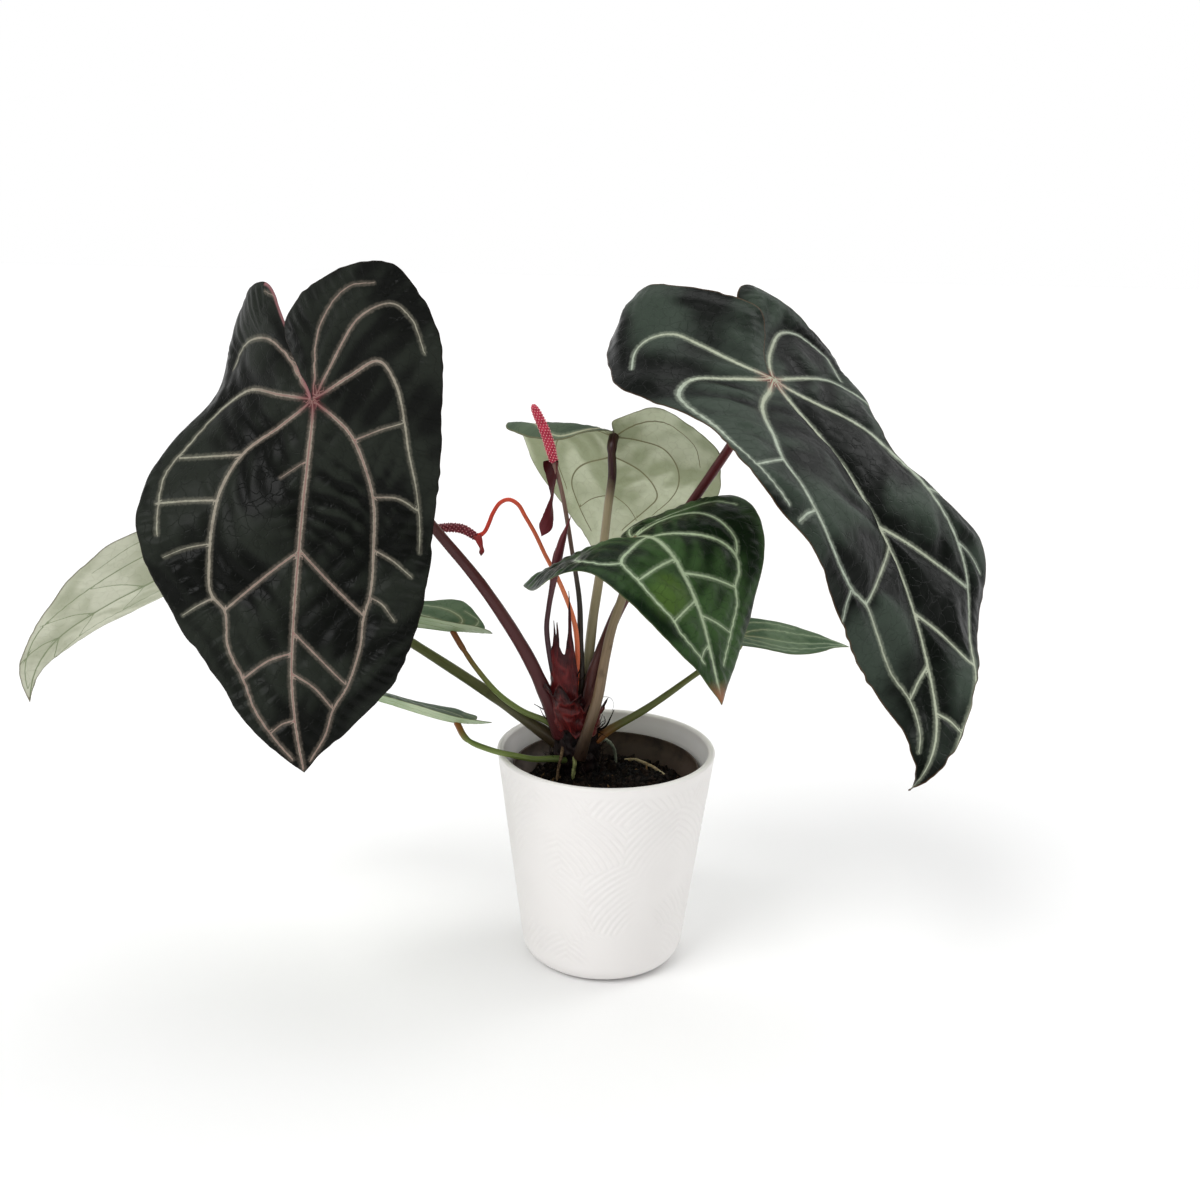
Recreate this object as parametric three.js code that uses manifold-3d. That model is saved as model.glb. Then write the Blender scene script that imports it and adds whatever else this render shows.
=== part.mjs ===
// Potted anthurium hybrid: eight heart-shaped leaves on stalks, a furled new leaf, two flower spikes,
// a short stem with sheaths and roots, its soil, the thin plant pot and the thick-walled outer pot.
// Millimetres, +Z up. The origin is the centre of the outer pot's flat base, on the surface it stands on.

import * as THREE from 'three';
import { mergeVertices } from 'three/addons/utils/BufferGeometryUtils.js';
import Module from 'manifold-3d';

const wasm = await Module();
wasm.setup();

const GAP = 0.3; // clearance between pieces that touch on the plant

// Outer pot: straight flaring wall, rounded foot and lip.
const OUTER_POT = {
  height: 143,
  rimRadius: 70,
  footRadius: 51.3, // where the straight wall would meet the surface
  flatRadius: 40,
  footRise: 11,
  wall: 4.6,
  floor: 10,
};

// Plant pot: thin and tapered, with a collar and drainage holes.
const PLANT_POT = {
  base: OUTER_POT.floor + GAP,
  top: 130.3,
  baseRadius: 43,
  collarRadius: 60,
  collarDrop: 9,
  wall: 1.3,
  holeRadius: 4,
  holeRing: 27,
  holeCount: 6,
};

const SOIL = { middle: 122, edge: 114, clearance: 0.4 };

const STEM = { x: -19, y: 5, bottom: 98, top: 172 };

const BLADE_THICKNESS = 1.2;
const SHEATH_THICKNESS = 0.9;

// Leaves. join: where the stalk meets the blade. length: from there to the tip. lobes: the two lobes
// behind it. Half widths, left and right, run from the tip back: at 7/8, 3/4, 1/2 and 1/4 of the length,
// at the stalk, half way along the lobe, at the lobe's end, and the lobe's inner edge half way along.
// heading (0 towards the front, 90 to the right) and pitch (up is positive) follow the midrib at the
// lobe's end, the stalk, 1/3, 2/3 and the tip. roll, fold and curl are given at the lobe's end, 1/3 and
// the tip: fold lifts a half blade, curl is the further turn from midrib to margin. droop bends the
// lobes down, left and right: their fall is droop times the square of the distance behind the stalk.
// stalk: the course of the leaf stalk from the stem up to near the blade, then its two radii.
const LEAVES = {
  left_large: {
    join: [-168, -62, 372], length: 209, lobes: [59, 83],
    left: [23, 41, 82, 98, 92, 91, 41, 20], right: [37, 58, 72, 74, 75, 74, 42, -24],
    heading: [-1, -23, -6, 2, 41], pitch: [-107, -78, -66, -66, -66], roll: [9, -7, 17],
    foldLeft: [-19, -2, -7], foldRight: [20, -9, 9], curlLeft: [-39, -11, -10], curlRight: [-31, -7, -15],
    stalk: [
      [-28, 0, 151], [-37, -6, 175], [-52, -10, 209], [-78, -18, 253], [-105, -27, 290], [-136, -36, 332],
    ],
    radii: [4.7, 3], color: 0x262926, stalkColor: 0x552c2c,
  },
  right_large: {
    join: [91, -20, 381], length: 273, lobes: [109, 84],
    left: [14, 34, 81, 110, 79, 74, 53, -24], right: [12, 28, 87, 53, 90, 84, 38, 20],
    heading: [11, 50, 43, 27, -52], pitch: [-46, -36, -47, -60, -15], roll: [20, -9, -6],
    foldLeft: [-30, 16, -25], foldRight: [-24, 12, -20],
    curlLeft: [-19, -22, -16], curlRight: [-16, -7, -17],
    stalk: [
      [-13, 3, 155], [-10, 5, 187], [-3, 13, 207], [8, 23, 232], [28, 33, 261], [49, 36, 293],
      [69, 20, 330], [84, -4, 364],
    ],
    radii: [4.2, 3], color: 0x3a433f, stalkColor: 0x64242c,
  },
  back: {
    join: [1, 55, 336], length: 129, lobes: [32, 23], droop: [0, 0.04],
    left: [14, 29, 57, 73, 72, 69, 38, 1], right: [10, 23, 59, 72, 69, 66, 36, 4],
    heading: [169, 180, 186, 188, 189], pitch: [-49, -51, -49, -59, -78], roll: [0, 16, 12],
    foldLeft: [-7, 5, 0], foldRight: [-10, 21, 12], curlLeft: [-20, -16, -20], curlRight: [-26, -9, -18],
    stalk: [
      [-17, 12, 156], [-13, 14, 192], [-10, 18, 225], [-7, 24, 247], [-4, 31, 273], [-2, 38, 294],
      [0, 42, 311],
    ],
    radii: [3.6, 2.7], color: 0xa5ad91, stalkColor: 0x968c6e,
  },
  front: {
    join: [12, -25, 288], length: 131, lobes: [54, 38],
    left: [14, 29, 47, 58, 68, 62, 44, 1], right: [19, 33, 54, 71, 75, 66, 42, 7],
    heading: [36, 38, 39, 33, 25], pitch: [13, 16, -39, -59, -64], roll: [23, 1, -24],
    foldLeft: [4, 8, 10], foldRight: [0, 5, -13], curlLeft: [-13, -22, -15], curlRight: [-26, 2, -30],
    stalk: [[-17, -7, 138], [-11, -15, 163], [-6, -16, 182], [-3, -17, 202], [1, -18, 225], [7, -21, 247]],
    radii: [3.8, 2.8], color: 0x2c4f2c, stalkColor: 0x786850,
  },
  rear_left: {
    join: [-219, 35, 262], length: 201, lobes: [45, 45],
    left: [5, 20, 40, 54, 55, 51, 30, 6], right: [11, 19, 47, 52, 55, 51, 30, 5],
    heading: [-81, -81, -81, -83, -100], pitch: [13, -2, -26, -34, -86], roll: [56, 44, 45],
    foldLeft: [-3, 19, 3], foldRight: [-1, 8, 2], curlLeft: [-17, -5, -14], curlRight: [-16, -10, -12],
    stalk: [
      [-30, 7, 141], [-43, 6, 151], [-69, 10, 169], [-124, 24, 200], [-173, 30, 229], [-203, 28, 247],
    ],
    radii: [4.2, 2.8], color: 0xb6bca2, stalkColor: 0x5a5f3c,
  },
  small_upper: {
    join: [-100, 15, 214], length: 95, lobes: [22, 22],
    left: [6, 12, 22, 25, 30, 26, 6, 4], right: [6, 12, 22, 29, 26, 28, 13, 3],
    heading: [-72, -81, -82, -81, -80], pitch: [16, 8, 7, -7, -28], roll: [6, 10, 11],
    foldLeft: [35, 32, 30], foldRight: [16, 22, 21], curlLeft: [0, 0, 0], curlRight: [0, 0, 0],
    stalk: [[-31, 3, 153], [-39, 1, 159], [-54, 2, 165], [-69, 4, 175], [-84, 8, 191], [-93, 12, 203]],
    radii: [2.1, 1.7], color: 0x4a6e46, stalkColor: 0x82914b,
  },
  small_lower: {
    join: [-95, -10, 161], length: 116, lobes: [17, 19],
    left: [6, 13, 20, 29, 31, 24, 15, 3], right: [6, 13, 23, 28, 29, 27, 16, 3],
    heading: [-71, -79, -84, -82, -80], pitch: [4, 14, 20, 8, -17], roll: [17, 18, 15],
    foldLeft: [17, 12, 27], foldRight: [9, 10, 21], curlLeft: [0, 0, 0], curlRight: [0, 0, 0],
    stalk: [
      [-26, -5, 135], [-33, -11, 138], [-46, -17, 140], [-57, -22, 144], [-73, -25, 149], [-88, -18, 153],
    ],
    radii: [2.2, 1.8], color: 0x6e8564, stalkColor: 0x82914b,
  },
  rear_right: {
    join: [84, 20, 213], length: 71, lobes: [22, 22],
    left: [5, 12, 23, 24, 27, 24, 14, 3], right: [5, 11, 21, 24, 26, 24, 14, 3],
    heading: [80, 82, 83, 91, 91], pitch: [4, -1, -8, 2, -11], roll: [0, 4, 6],
    foldLeft: [9, 6, 5], foldRight: [9, 10, 10], curlLeft: [0, 0, 0], curlRight: [0, 0, 0],
    stalk: [[-7, 6, 145], [2, 6, 152], [26, 10, 166], [57, 16, 188], [78, 19, 203]],
    radii: [2.9, 1.9], color: 0x5a6e5a, stalkColor: 0x646e32,
  },
};

// Spathes and sheaths are small blades without lobes, in the same terms as a leaf.
const SPATHES = {
  upright: {
    join: [-36.6, 2, 325], length: 48, lobes: [0, 0],
    left: [3.6, 3.6, 2.6, 4, 5.5, 0, 0, 0], right: [3.6, 3.6, 2.6, 4, 5.5, 0, 0, 0],
    heading: [-30, -30, -40, -45, -50], pitch: [-88, -88, -86, -74, -60], roll: [0, 10, 25],
    foldLeft: [50, 30, 0], foldRight: [50, 30, 0], curlLeft: [20, 10, 0], curlRight: [20, 10, 0],
  },
  arched: {
    join: [-82, -4.1, 281], length: 18, lobes: [0, 0],
    left: [1.5, 2.6, 3, 3.2, 3, 0, 0, 0], right: [1.5, 2.6, 3, 3.2, 3, 0, 0, 0],
    heading: [30, 30, 50, 60, -60], pitch: [-50, -50, -60, -70, -80], roll: [0, 0, 0],
    foldLeft: [25, 15, 0], foldRight: [25, 15, 0], curlLeft: [0, 0, 0], curlRight: [0, 0, 0],
  },
};

const SHEATHS = [
  { join: [-31, -9, 152], length: 56, heading: [180, 180, 200, 240, 250], pitch: [78, 78, 88, 95, 88] },
  { join: [-24, -13, 151], length: 98, heading: [180, 180, 180, 150, 150], pitch: [82, 82, 86, 88, 88] },
  { join: [-27, 15, 152], length: 52, heading: [180, 180, 190, 200, 200], pitch: [85, 85, 90, 92, 90] },
  { join: [-7, 10, 150], length: 40, heading: [90, 90, 60, 40, 30], pitch: [72, 72, 84, 92, 95] },
];
const SHEATH_HALF_WIDTHS = [1.2, 2.4, 4.6, 6.2, 7, 0, 0, 0];

const SPIKES = {
  upright: {
    stalk: [
      [-20, 8, 165], [-17, 6, 182], [-18, 8, 214], [-19, 9, 237], [-24, 8, 269], [-31, 6, 308],
      [-36, 4, 327],
    ],
    stalkRadii: [2.4, 1.4],
    spike: [[-36, 4, 327], [-41, 3, 344], [-49, 1, 362]], spikeRadius: 3.3,
    stalkColor: 0x2a2620, spikeColor: 0xc83c5a,
  },
  arched: {
    stalk: [
      [-23, 3, 165], [-20, 1, 187], [-21, 2, 221], [-30, 4, 247], [-41, 3, 269], [-53, 0, 294],
      [-63, -2, 304], [-73, -2, 295], [-83, -2, 280],
    ],
    stalkRadii: [1.8, 1.3],
    spike: [[-83, -2, 280], [-92, -2, 285], [-106, -2, 285], [-118, -2, 281]], spikeRadius: 3,
    stalkColor: 0xd0603c, spikeColor: 0x781928,
  },
};

const NEW_LEAF = {
  course: [
    [-28, -2, 166], [-33, -3, 185], [-39, -3, 221], [-38, -2, 235], [-36, -1, 248], [-31, -2, 276],
    [-25, -4, 295],
  ],
  stalkRadius: 2,
  budRadius: 2.7,
};

const ROOTS = [
  { course: [[-9, 8, 140], [-2, 14, 142], [5, 22, 133], [7, 26, 118]], radius: 1.4, color: 0x8a9180 },
  { course: [[6, 38, 116], [18, 34, 120], [30, 24, 120], [45, 9, 115]], radius: 1.3, color: 0xb5a98a },
  { course: [[-20, -6, 142], [-20, -11, 134], [-21, -12, 124.5]], radius: 1.7, color: 0xa6ad78 },
  {
    course: [[-26, -2, 150], [-28, -9, 142], [-30, -12, 133], [-31, -14, 124]],
    radius: 1.3, color: 0xa08a68,
  },
];

// Small tools: smooth interpolation, closed bodies and cuts.

function hermite(stations, values, at) {
  const last = stations.length - 1;
  const x = Math.min(Math.max(at, stations[0]), stations[last]);
  let i = 0;
  while (i < last - 1 && x > stations[i + 1]) i += 1;
  const slope = (k) => {
    const a = Math.max(k - 1, 0);
    const b = Math.min(k + 1, last);
    return (values[b] - values[a]) / (stations[b] - stations[a]);
  };
  const h = stations[i + 1] - stations[i];
  const u = (x - stations[i]) / h;
  const u2 = u * u;
  const u3 = u2 * u;
  const ends = (2 * u3 - 3 * u2 + 1) * values[i] + (3 * u2 - 2 * u3) * values[i + 1];
  return ends + (u3 - 2 * u2 + u) * h * slope(i) + (u3 - u2) * h * slope(i + 1);
}

function toSolid(geometry) {
  const bare = geometry.clone();
  bare.deleteAttribute('normal');
  bare.deleteAttribute('uv');
  const merged = mergeVertices(bare, 1e-4);
  return new wasm.Manifold(new wasm.Mesh({
    numProp: 3,
    vertProperties: new Float32Array(merged.attributes.position.array),
    triVerts: new Uint32Array(merged.index.array),
  }));
}

function toGeometry(solid) {
  const mesh = solid.getMesh();
  const geometry = new THREE.BufferGeometry();
  geometry.setAttribute('position', new THREE.BufferAttribute(new Float32Array(mesh.vertProperties), 3));
  geometry.setIndex(new THREE.BufferAttribute(new Uint32Array(mesh.triVerts), 1));
  geometry.computeVertexNormals();
  return geometry;
}

// Cuts every cutter out of a body and keeps the largest piece left.
function carve(geometry, cutters) {
  let solid = toSolid(geometry);
  for (const cutter of cutters) solid = solid.subtract(cutter);
  const pieces = solid.decompose();
  pieces.sort((a, b) => b.volume() - a.volume());
  return toGeometry(pieces[0]);
}

// A round body along a course whose radius follows radiusAt(fraction of the course).
function tapered(course, radiusAt, { steps = 12, sides = 8, grow = 0 } = {}) {
  const path = new THREE.CatmullRomCurve3(course.map((p) => new THREE.Vector3(...p)), false, 'centripetal');
  const section = new THREE.Shape();
  for (let k = 0; k < sides; k += 1) {
    const turn = (2 * Math.PI * k) / sides;
    if (k === 0) section.moveTo(1, 0);
    else section.lineTo(Math.cos(turn), Math.sin(turn));
  }
  section.closePath();
  const body = new THREE.ExtrudeGeometry(section, { steps, bevelEnabled: false, extrudePath: path });
  const centres = path.getSpacedPoints(steps);
  const position = body.attributes.position;
  const vertex = new THREE.Vector3();
  for (let k = 0; k < position.count; k += 1) {
    vertex.fromBufferAttribute(position, k);
    let nearest = 0;
    for (let c = 1; c <= steps; c += 1) {
      if (centres[c].distanceToSquared(vertex) < centres[nearest].distanceToSquared(vertex)) nearest = c;
    }
    const radius = radiusAt(nearest / steps) + grow;
    vertex.sub(centres[nearest]).multiplyScalar(radius).add(centres[nearest]);
    position.setXYZ(k, vertex.x, vertex.y, vertex.z);
  }
  return body;
}

// A wall turned about the vertical axis from a profile of [radius, height].
function turned(profile, segments, x = 0, y = 0) {
  const lathe = new THREE.LatheGeometry(profile.map(([r, z]) => new THREE.Vector2(r, z)), segments);
  lathe.rotateX(Math.PI / 2);
  lathe.translate(x, y, 0);
  return lathe;
}

// Leaf blade: a bent midrib carries two half blades.

function bladeSurface(leaf) {
  const back = Math.max(...leaf.lobes, 1);
  const five = [-back, 0, leaf.length / 3, (2 * leaf.length) / 3, leaf.length];
  const three = [-back, leaf.length / 3, leaf.length];
  const widest = { '-1': Math.max(...leaf.left), 1: Math.max(...leaf.right) };
  const fold = { '-1': leaf.foldLeft, 1: leaf.foldRight };
  const curl = { '-1': leaf.curlLeft, 1: leaf.curlRight };
  const [droopLeft, droopRight] = leaf.droop ?? [0, 0];
  const droop = { '-1': droopLeft, 1: droopRight };
  const rad = THREE.MathUtils.degToRad;

  const frame = (s) => {
    const heading = rad(hermite(five, leaf.heading, s));
    const pitch = rad(hermite(five, leaf.pitch, s));
    const roll = rad(hermite(three, leaf.roll, s));
    const along = new THREE.Vector3(
      Math.sin(heading) * Math.cos(pitch), -Math.cos(heading) * Math.cos(pitch), Math.sin(pitch),
    );
    const level = new THREE.Vector3(Math.cos(heading), Math.sin(heading), 0);
    const up = new THREE.Vector3().crossVectors(along, level);
    const across = level.clone().multiplyScalar(Math.cos(roll)).addScaledVector(up, Math.sin(roll));
    const normal = up.clone().multiplyScalar(Math.cos(roll)).addScaledVector(level, -Math.sin(roll));
    return { along, across, normal };
  };

  const stations = [];
  const points = [];
  const march = (from, to, count) => {
    let point = new THREE.Vector3(...leaf.join);
    for (let k = 1; k <= count; k += 1) {
      const a = from + ((to - from) * (k - 1)) / count;
      const b = from + ((to - from) * k) / count;
      point = point.clone().addScaledVector(frame((a + b) / 2).along, b - a);
      stations.push(b);
      points.push(point);
    }
  };
  march(0, -back, 24);
  stations.reverse();
  points.reverse();
  stations.push(0);
  points.push(new THREE.Vector3(...leaf.join));
  march(0, leaf.length, 48);

  const midrib = (s) => {
    const x = Math.min(Math.max(s, stations[0]), stations[stations.length - 1]);
    let i = 0;
    while (i < stations.length - 2 && x > stations[i + 1]) i += 1;
    return points[i].clone().lerp(points[i + 1], (x - stations[i]) / (stations[i + 1] - stations[i]));
  };

  // Point and normal at s along the midrib and t across it, on the half blade named by side.
  return (s, t, side) => {
    const { along, across, normal } = frame(s);
    const behind = Math.min(s, 0);
    const bend = Math.atan(-2 * droop[side] * behind);
    const start = rad(hermite(three, fold[side], s));
    let turn = rad(hermite(three, curl[side], s));
    if (Math.abs(turn) < 1e-4) turn = 1e-4;
    const width = widest[side];
    const reach = (side * t) / width;
    const out = (width * (Math.sin(start + turn * reach) - Math.sin(start))) / turn;
    const rise = (width * (Math.cos(start) - Math.cos(start + turn * reach))) / turn;
    const lift = rise - droop[side] * behind ** 2;
    const point = midrib(s).addScaledVector(across, side * out).addScaledVector(normal, lift);
    const lean = t === 0 ? 0 : start + turn * reach;
    const up = normal.clone().multiplyScalar(Math.cos(bend)).addScaledVector(along, -Math.sin(bend));
    const face = up.multiplyScalar(Math.cos(lean)).addScaledVector(across, -side * Math.sin(lean));
    return { point, face };
  };
}

// Outline of one half blade as [s, t], from the tip round to the stalk, in two stretches.
function halfOutline(leaf, side, mainSteps, lobeSteps, grow) {
  const widths = side < 0 ? leaf.left : leaf.right;
  const lobe = side < 0 ? leaf.lobes[0] : leaf.lobes[1];
  const L = leaf.length;
  let s = [L, (L * 7) / 8, (L * 3) / 4, L / 2, L / 4, 0, -lobe / 2, -lobe, -lobe / 2, 0];
  let t = [0, ...widths, 0];
  if (lobe === 0) {
    s = s.slice(0, 6);
    t = t.slice(0, 6);
  }
  const knots = [0];
  for (let k = 1; k < s.length; k += 1) {
    knots.push(knots[k - 1] + Math.sqrt(Math.hypot(s[k] - s[k - 1], t[k] - t[k - 1])));
  }
  const at = (k) => [hermite(knots, s, k), side * hermite(knots, t, k)];
  const marks = [];
  for (let k = 0; k <= mainSteps; k += 1) marks.push((knots[5] * k) / mainSteps);
  for (let k = 1; k < lobeSteps && lobe > 0; k += 1) {
    marks.push(knots[5] + ((knots[9] - knots[5]) * k) / lobeSteps);
  }
  const h = 0.02;
  return marks.map((mark) => {
    const [a, b] = at(mark);
    const [a0, b0] = at(Math.max(mark - h, 0));
    const [a1, b1] = at(Math.min(mark + h, knots[knots.length - 1]));
    const size = Math.hypot(a1 - a0, b1 - b0) || 1;
    if (mark === 0) return [a + grow, 0];
    return [a + (side * grow * (b1 - b0)) / size, b - (side * grow * (a1 - a0)) / size];
  });
}

function blade(leaf, options = {}) {
  const { thickness = BLADE_THICKNESS, mainSteps = 14, lobeSteps = 12, rows = 4, grow = 0 } = options;
  const surface = bladeSurface(leaf);
  const half = thickness / 2 + grow;
  const ids = new Map();
  const flat = [];
  const top = [];
  const bottom = [];
  const vertex = (s, t, side) => {
    const key = `${s.toFixed(3)}:${t.toFixed(3)}`;
    if (!ids.has(key)) {
      const { point, face } = surface(s, t, side);
      ids.set(key, flat.length);
      flat.push([s, t]);
      top.push(point.clone().addScaledVector(face, half));
      bottom.push(point.clone().addScaledVector(face, -half));
    }
    return ids.get(key);
  };

  const faces = [];
  const addFace = (side, a, b, c) => {
    if (a === b || b === c || c === a) return;
    faces.push(side > 0 ? [a, c, b] : [a, b, c]);
  };

  for (const side of [-1, 1]) {
    const outline = halfOutline(leaf, side, mainSteps, lobeSteps, grow);
    const strips = outline.map(([s, t], k) => {
      const inner = k === 0 ? s : leaf.length * Math.max(0, 1 - k / mainSteps);
      const strip = [];
      for (let j = 0; j <= rows; j += 1) {
        const f = j / rows;
        strip.push(vertex(inner + (s - inner) * f, t * f, side));
      }
      return strip;
    });
    for (let k = 0; k + 1 < strips.length; k += 1) {
      for (let j = 0; j < rows; j += 1) {
        addFace(side, strips[k][j], strips[k + 1][j], strips[k][j + 1]);
        addFace(side, strips[k + 1][j], strips[k + 1][j + 1], strips[k][j + 1]);
      }
    }
  }

  const open = new Map();
  for (const face of faces) {
    for (let k = 0; k < 3; k += 1) {
      const a = face[k];
      const b = face[(k + 1) % 3];
      if (open.has(`${b}>${a}`)) open.delete(`${b}>${a}`);
      else open.set(`${a}>${b}`, [a, b]);
    }
  }
  const count = flat.length;
  const index = faces.flat();
  for (const [a, b, c] of faces) index.push(c + count, b + count, a + count);
  for (const [a, b] of open.values()) {
    index.push(b, a, a + count, b, a + count, b + count);
  }
  const geometry = new THREE.BufferGeometry();
  const xyz = [...top, ...bottom].flatMap((p) => [p.x, p.y, p.z]);
  geometry.setAttribute('position', new THREE.Float32BufferAttribute(xyz, 3));
  geometry.setIndex(index);
  geometry.computeVertexNormals();
  return geometry;
}

// The stalk runs from the stem and bends at its top joint to meet the blade squarely from below.
function stalkCourse(leaf) {
  const { point, face } = bladeSurface(leaf)(0, 0, 1);
  const bend = point.clone().addScaledVector(face, -leaf.radii[1] * 4);
  const seat = point.clone().addScaledVector(face, -BLADE_THICKNESS / 2);
  return [...leaf.stalk, bend.toArray(), seat.toArray()];
}

function stalkRadius([base, top]) {
  return (u) => {
    const plain = base + (top - base) * Math.min(1, u * 1.6);
    const foot = 1 + 0.2 * Math.max(0, 1 - u * 6);
    const joint = u > 0.9 ? 1.12 : 1;
    return plain * foot * joint;
  };
}

// Pots and soil.

function outerPot() {
  const p = OUTER_POT;
  const outerAt = (z) => p.footRadius + ((p.rimRadius - p.footRadius) * z) / p.height;
  const innerAt = (z) => outerAt(z) - p.wall;
  const foot = new THREE.CubicBezierCurve(
    new THREE.Vector2(p.flatRadius, 0), new THREE.Vector2(p.flatRadius + 6, 0),
    new THREE.Vector2(outerAt(p.footRise) - 1.2, p.footRise - 7),
    new THREE.Vector2(outerAt(p.footRise), p.footRise),
  );
  const lipRadius = p.wall / 2;
  const lipCentre = new THREE.Vector2(p.rimRadius - lipRadius, p.height - lipRadius);
  const profile = [[0, 0]];
  for (const point of foot.getPoints(5)) profile.push([point.x, point.y]);
  for (const z of [45, 95]) profile.push([outerAt(z), z]);
  for (let k = 0; k <= 6; k += 1) {
    const turn = (Math.PI * k) / 6;
    profile.push([lipCentre.x + lipRadius * Math.cos(turn), lipCentre.y + lipRadius * Math.sin(turn)]);
  }
  for (const z of [95, 45, p.floor + 6]) profile.push([innerAt(z), z]);
  profile.push([innerAt(p.floor) - 4, p.floor], [0, p.floor]);
  return turned(profile, 56);
}

function plantPot() {
  const p = PLANT_POT;
  const shoulder = p.top - p.collarDrop;
  const bodyTop = p.collarRadius - 2.5;
  const profile = [
    [0, p.base], [p.baseRadius, p.base], [bodyTop, shoulder], [p.collarRadius, shoulder + 1],
    [p.collarRadius, p.top], [p.collarRadius - p.wall, p.top], [p.collarRadius - p.wall, shoulder + 1.5],
    [bodyTop - p.wall, shoulder + 0.5], [p.baseRadius - p.wall, p.base + p.wall], [0, p.base + p.wall],
  ];
  const holes = [];
  for (let k = 0; k < p.holeCount; k += 1) {
    const turn = (2 * Math.PI * k) / p.holeCount;
    const hole = new THREE.CylinderGeometry(p.holeRadius, p.holeRadius, p.wall * 4, 14);
    hole.rotateX(Math.PI / 2);
    hole.translate(p.holeRing * Math.cos(turn), p.holeRing * Math.sin(turn), p.base);
    holes.push(toSolid(hole));
  }
  return carve(turned(profile, 48), holes);
}

function soilBody(cutters) {
  const p = PLANT_POT;
  const inside = p.wall + SOIL.clearance;
  const floor = p.base + inside;
  const shoulder = p.top - p.collarDrop;
  const share = (SOIL.edge - p.base) / (shoulder - p.base);
  const edge = p.baseRadius + (p.collarRadius - 2.5 - p.baseRadius) * share;
  const profile = [
    [0, floor], [p.baseRadius - inside, floor], [edge - inside, SOIL.edge], [edge - 22, SOIL.middle - 2.5],
    [edge - 38, SOIL.middle], [0, SOIL.middle],
  ];
  return carve(turned(profile, 40), cutters);
}

function stemBody(grow = 0) {
  const { bottom, top } = STEM;
  const profile = [
    [0, bottom - grow], [9, bottom - grow], [12, bottom + 12], [13, 126], [14.5, 138], [12.5, 152],
    [9.5, 164],
    [4, top - 1], [0, top + grow],
  ];
  const grown = profile.map(([r, z], k) => [k > 0 && k < profile.length - 1 ? r + grow : r, z]);
  return turned(grown, 18, STEM.x, STEM.y);
}

// Assembly. Pieces that meet at the crown are cut back from the ones made before them.

const part = new THREE.Group();
const crown = []; // solids, grown by the clearance, that later pieces at the crown keep clear of

function addMesh(name, geometry, color, roughness = 0.6, metalness = 0) {
  const material = new THREE.MeshStandardMaterial({ color, roughness, metalness });
  const mesh = new THREE.Mesh(geometry, material);
  mesh.name = name;
  part.add(mesh);
}

addMesh('outer_pot', outerPot(), 0xeceae6, 0.45);
addMesh('plant_pot', plantPot(), 0x5f5041, 0.55);

addMesh('stem', stemBody(), 0x2e1a16, 0.85);
crown.push(toSolid(stemBody(GAP)));

const stalkOrder = [
  'front', 'left_large', 'right_large', 'back', 'small_lower', 'small_upper', 'rear_left', 'rear_right',
];
for (const name of stalkOrder) {
  const leaf = LEAVES[name];
  const detail = leaf.length > 120 ? {} : { mainSteps: 10, lobeSteps: 8, rows: 3 };
  addMesh(`blade_${name}`, blade(leaf, detail), leaf.color, 0.5);
  const course = stalkCourse(leaf);
  const radius = stalkRadius(leaf.radii);
  const clearOfBlade = toSolid(blade(leaf, { ...detail, grow: GAP }));
  const stalk = carve(tapered(course, radius, { steps: 16 }), [...crown, clearOfBlade]);
  addMesh(`stalk_${name}`, stalk, leaf.stalkColor, 0.5);
  crown.push(toSolid(tapered(course, radius, { steps: 16, grow: GAP })));
}

function newLeafRadius(grow) {
  const { stalkRadius: stalk, budRadius: bud } = NEW_LEAF;
  return (u) => {
    const swell = Math.exp(-(((u - 0.78) / 0.13) ** 2));
    const taper = Math.min(1, (1.02 - u) * 8);
    return (stalk * (1 - 0.35 * u) + (bud - stalk * 0.7) * swell) * taper + grow;
  };
}
addMesh('new_leaf', carve(tapered(NEW_LEAF.course, newLeafRadius(0), { steps: 18 }), crown), 0x5a2d32, 0.45);
crown.push(toSolid(tapered(NEW_LEAF.course, newLeafRadius(GAP), { steps: 18 })));

for (const [name, flower] of Object.entries(SPIKES)) {
  const stalkAt = stalkRadius(flower.stalkRadii);
  const steps = name === 'arched' ? 24 : 16;
  const stalk = carve(tapered(flower.stalk, stalkAt, { steps }), crown);
  addMesh(`flower_stalk_${name}`, stalk, flower.stalkColor, 0.45);
  const grownStalk = toSolid(tapered(flower.stalk, stalkAt, { steps, grow: GAP }));
  crown.push(grownStalk);
  const roundTop = (u) => Math.sqrt(Math.max(0.02, 1 - u ** 5));
  const spikeAt = (u) => flower.spikeRadius * Math.min(1, 0.75 + u) * roundTop(u) * (1 - 0.3 * u);
  const spikeBody = (grow) => tapered(flower.spike, spikeAt, { steps: 12, sides: 10, grow });
  addMesh(`flower_spike_${name}`, carve(spikeBody(0), [grownStalk]), flower.spikeColor, 0.55);
  const spathe = blade(SPATHES[name], { thickness: SHEATH_THICKNESS, mainSteps: 10, rows: 3 });
  addMesh(`spathe_${name}`, carve(spathe, [grownStalk, toSolid(spikeBody(GAP))]), 0x5a191f, 0.4);
}

SHEATHS.forEach((sheath, k) => {
  const full = {
    ...sheath, lobes: [0, 0], left: SHEATH_HALF_WIDTHS, right: SHEATH_HALF_WIDTHS, roll: [0, 0, 0],
    foldLeft: [-25, -25, -10], foldRight: [-25, -25, -10],
    curlLeft: [-40, -40, -30], curlRight: [-40, -40, -30],
  };
  const body = blade(full, { thickness: SHEATH_THICKNESS, mainSteps: 8, rows: 3 });
  addMesh(`sheath_${k + 1}`, carve(body, crown), 0x4a1414, 0.5);
  crown.push(toSolid(blade(full, { thickness: SHEATH_THICKNESS, mainSteps: 8, rows: 3, grow: GAP })));
});

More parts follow.
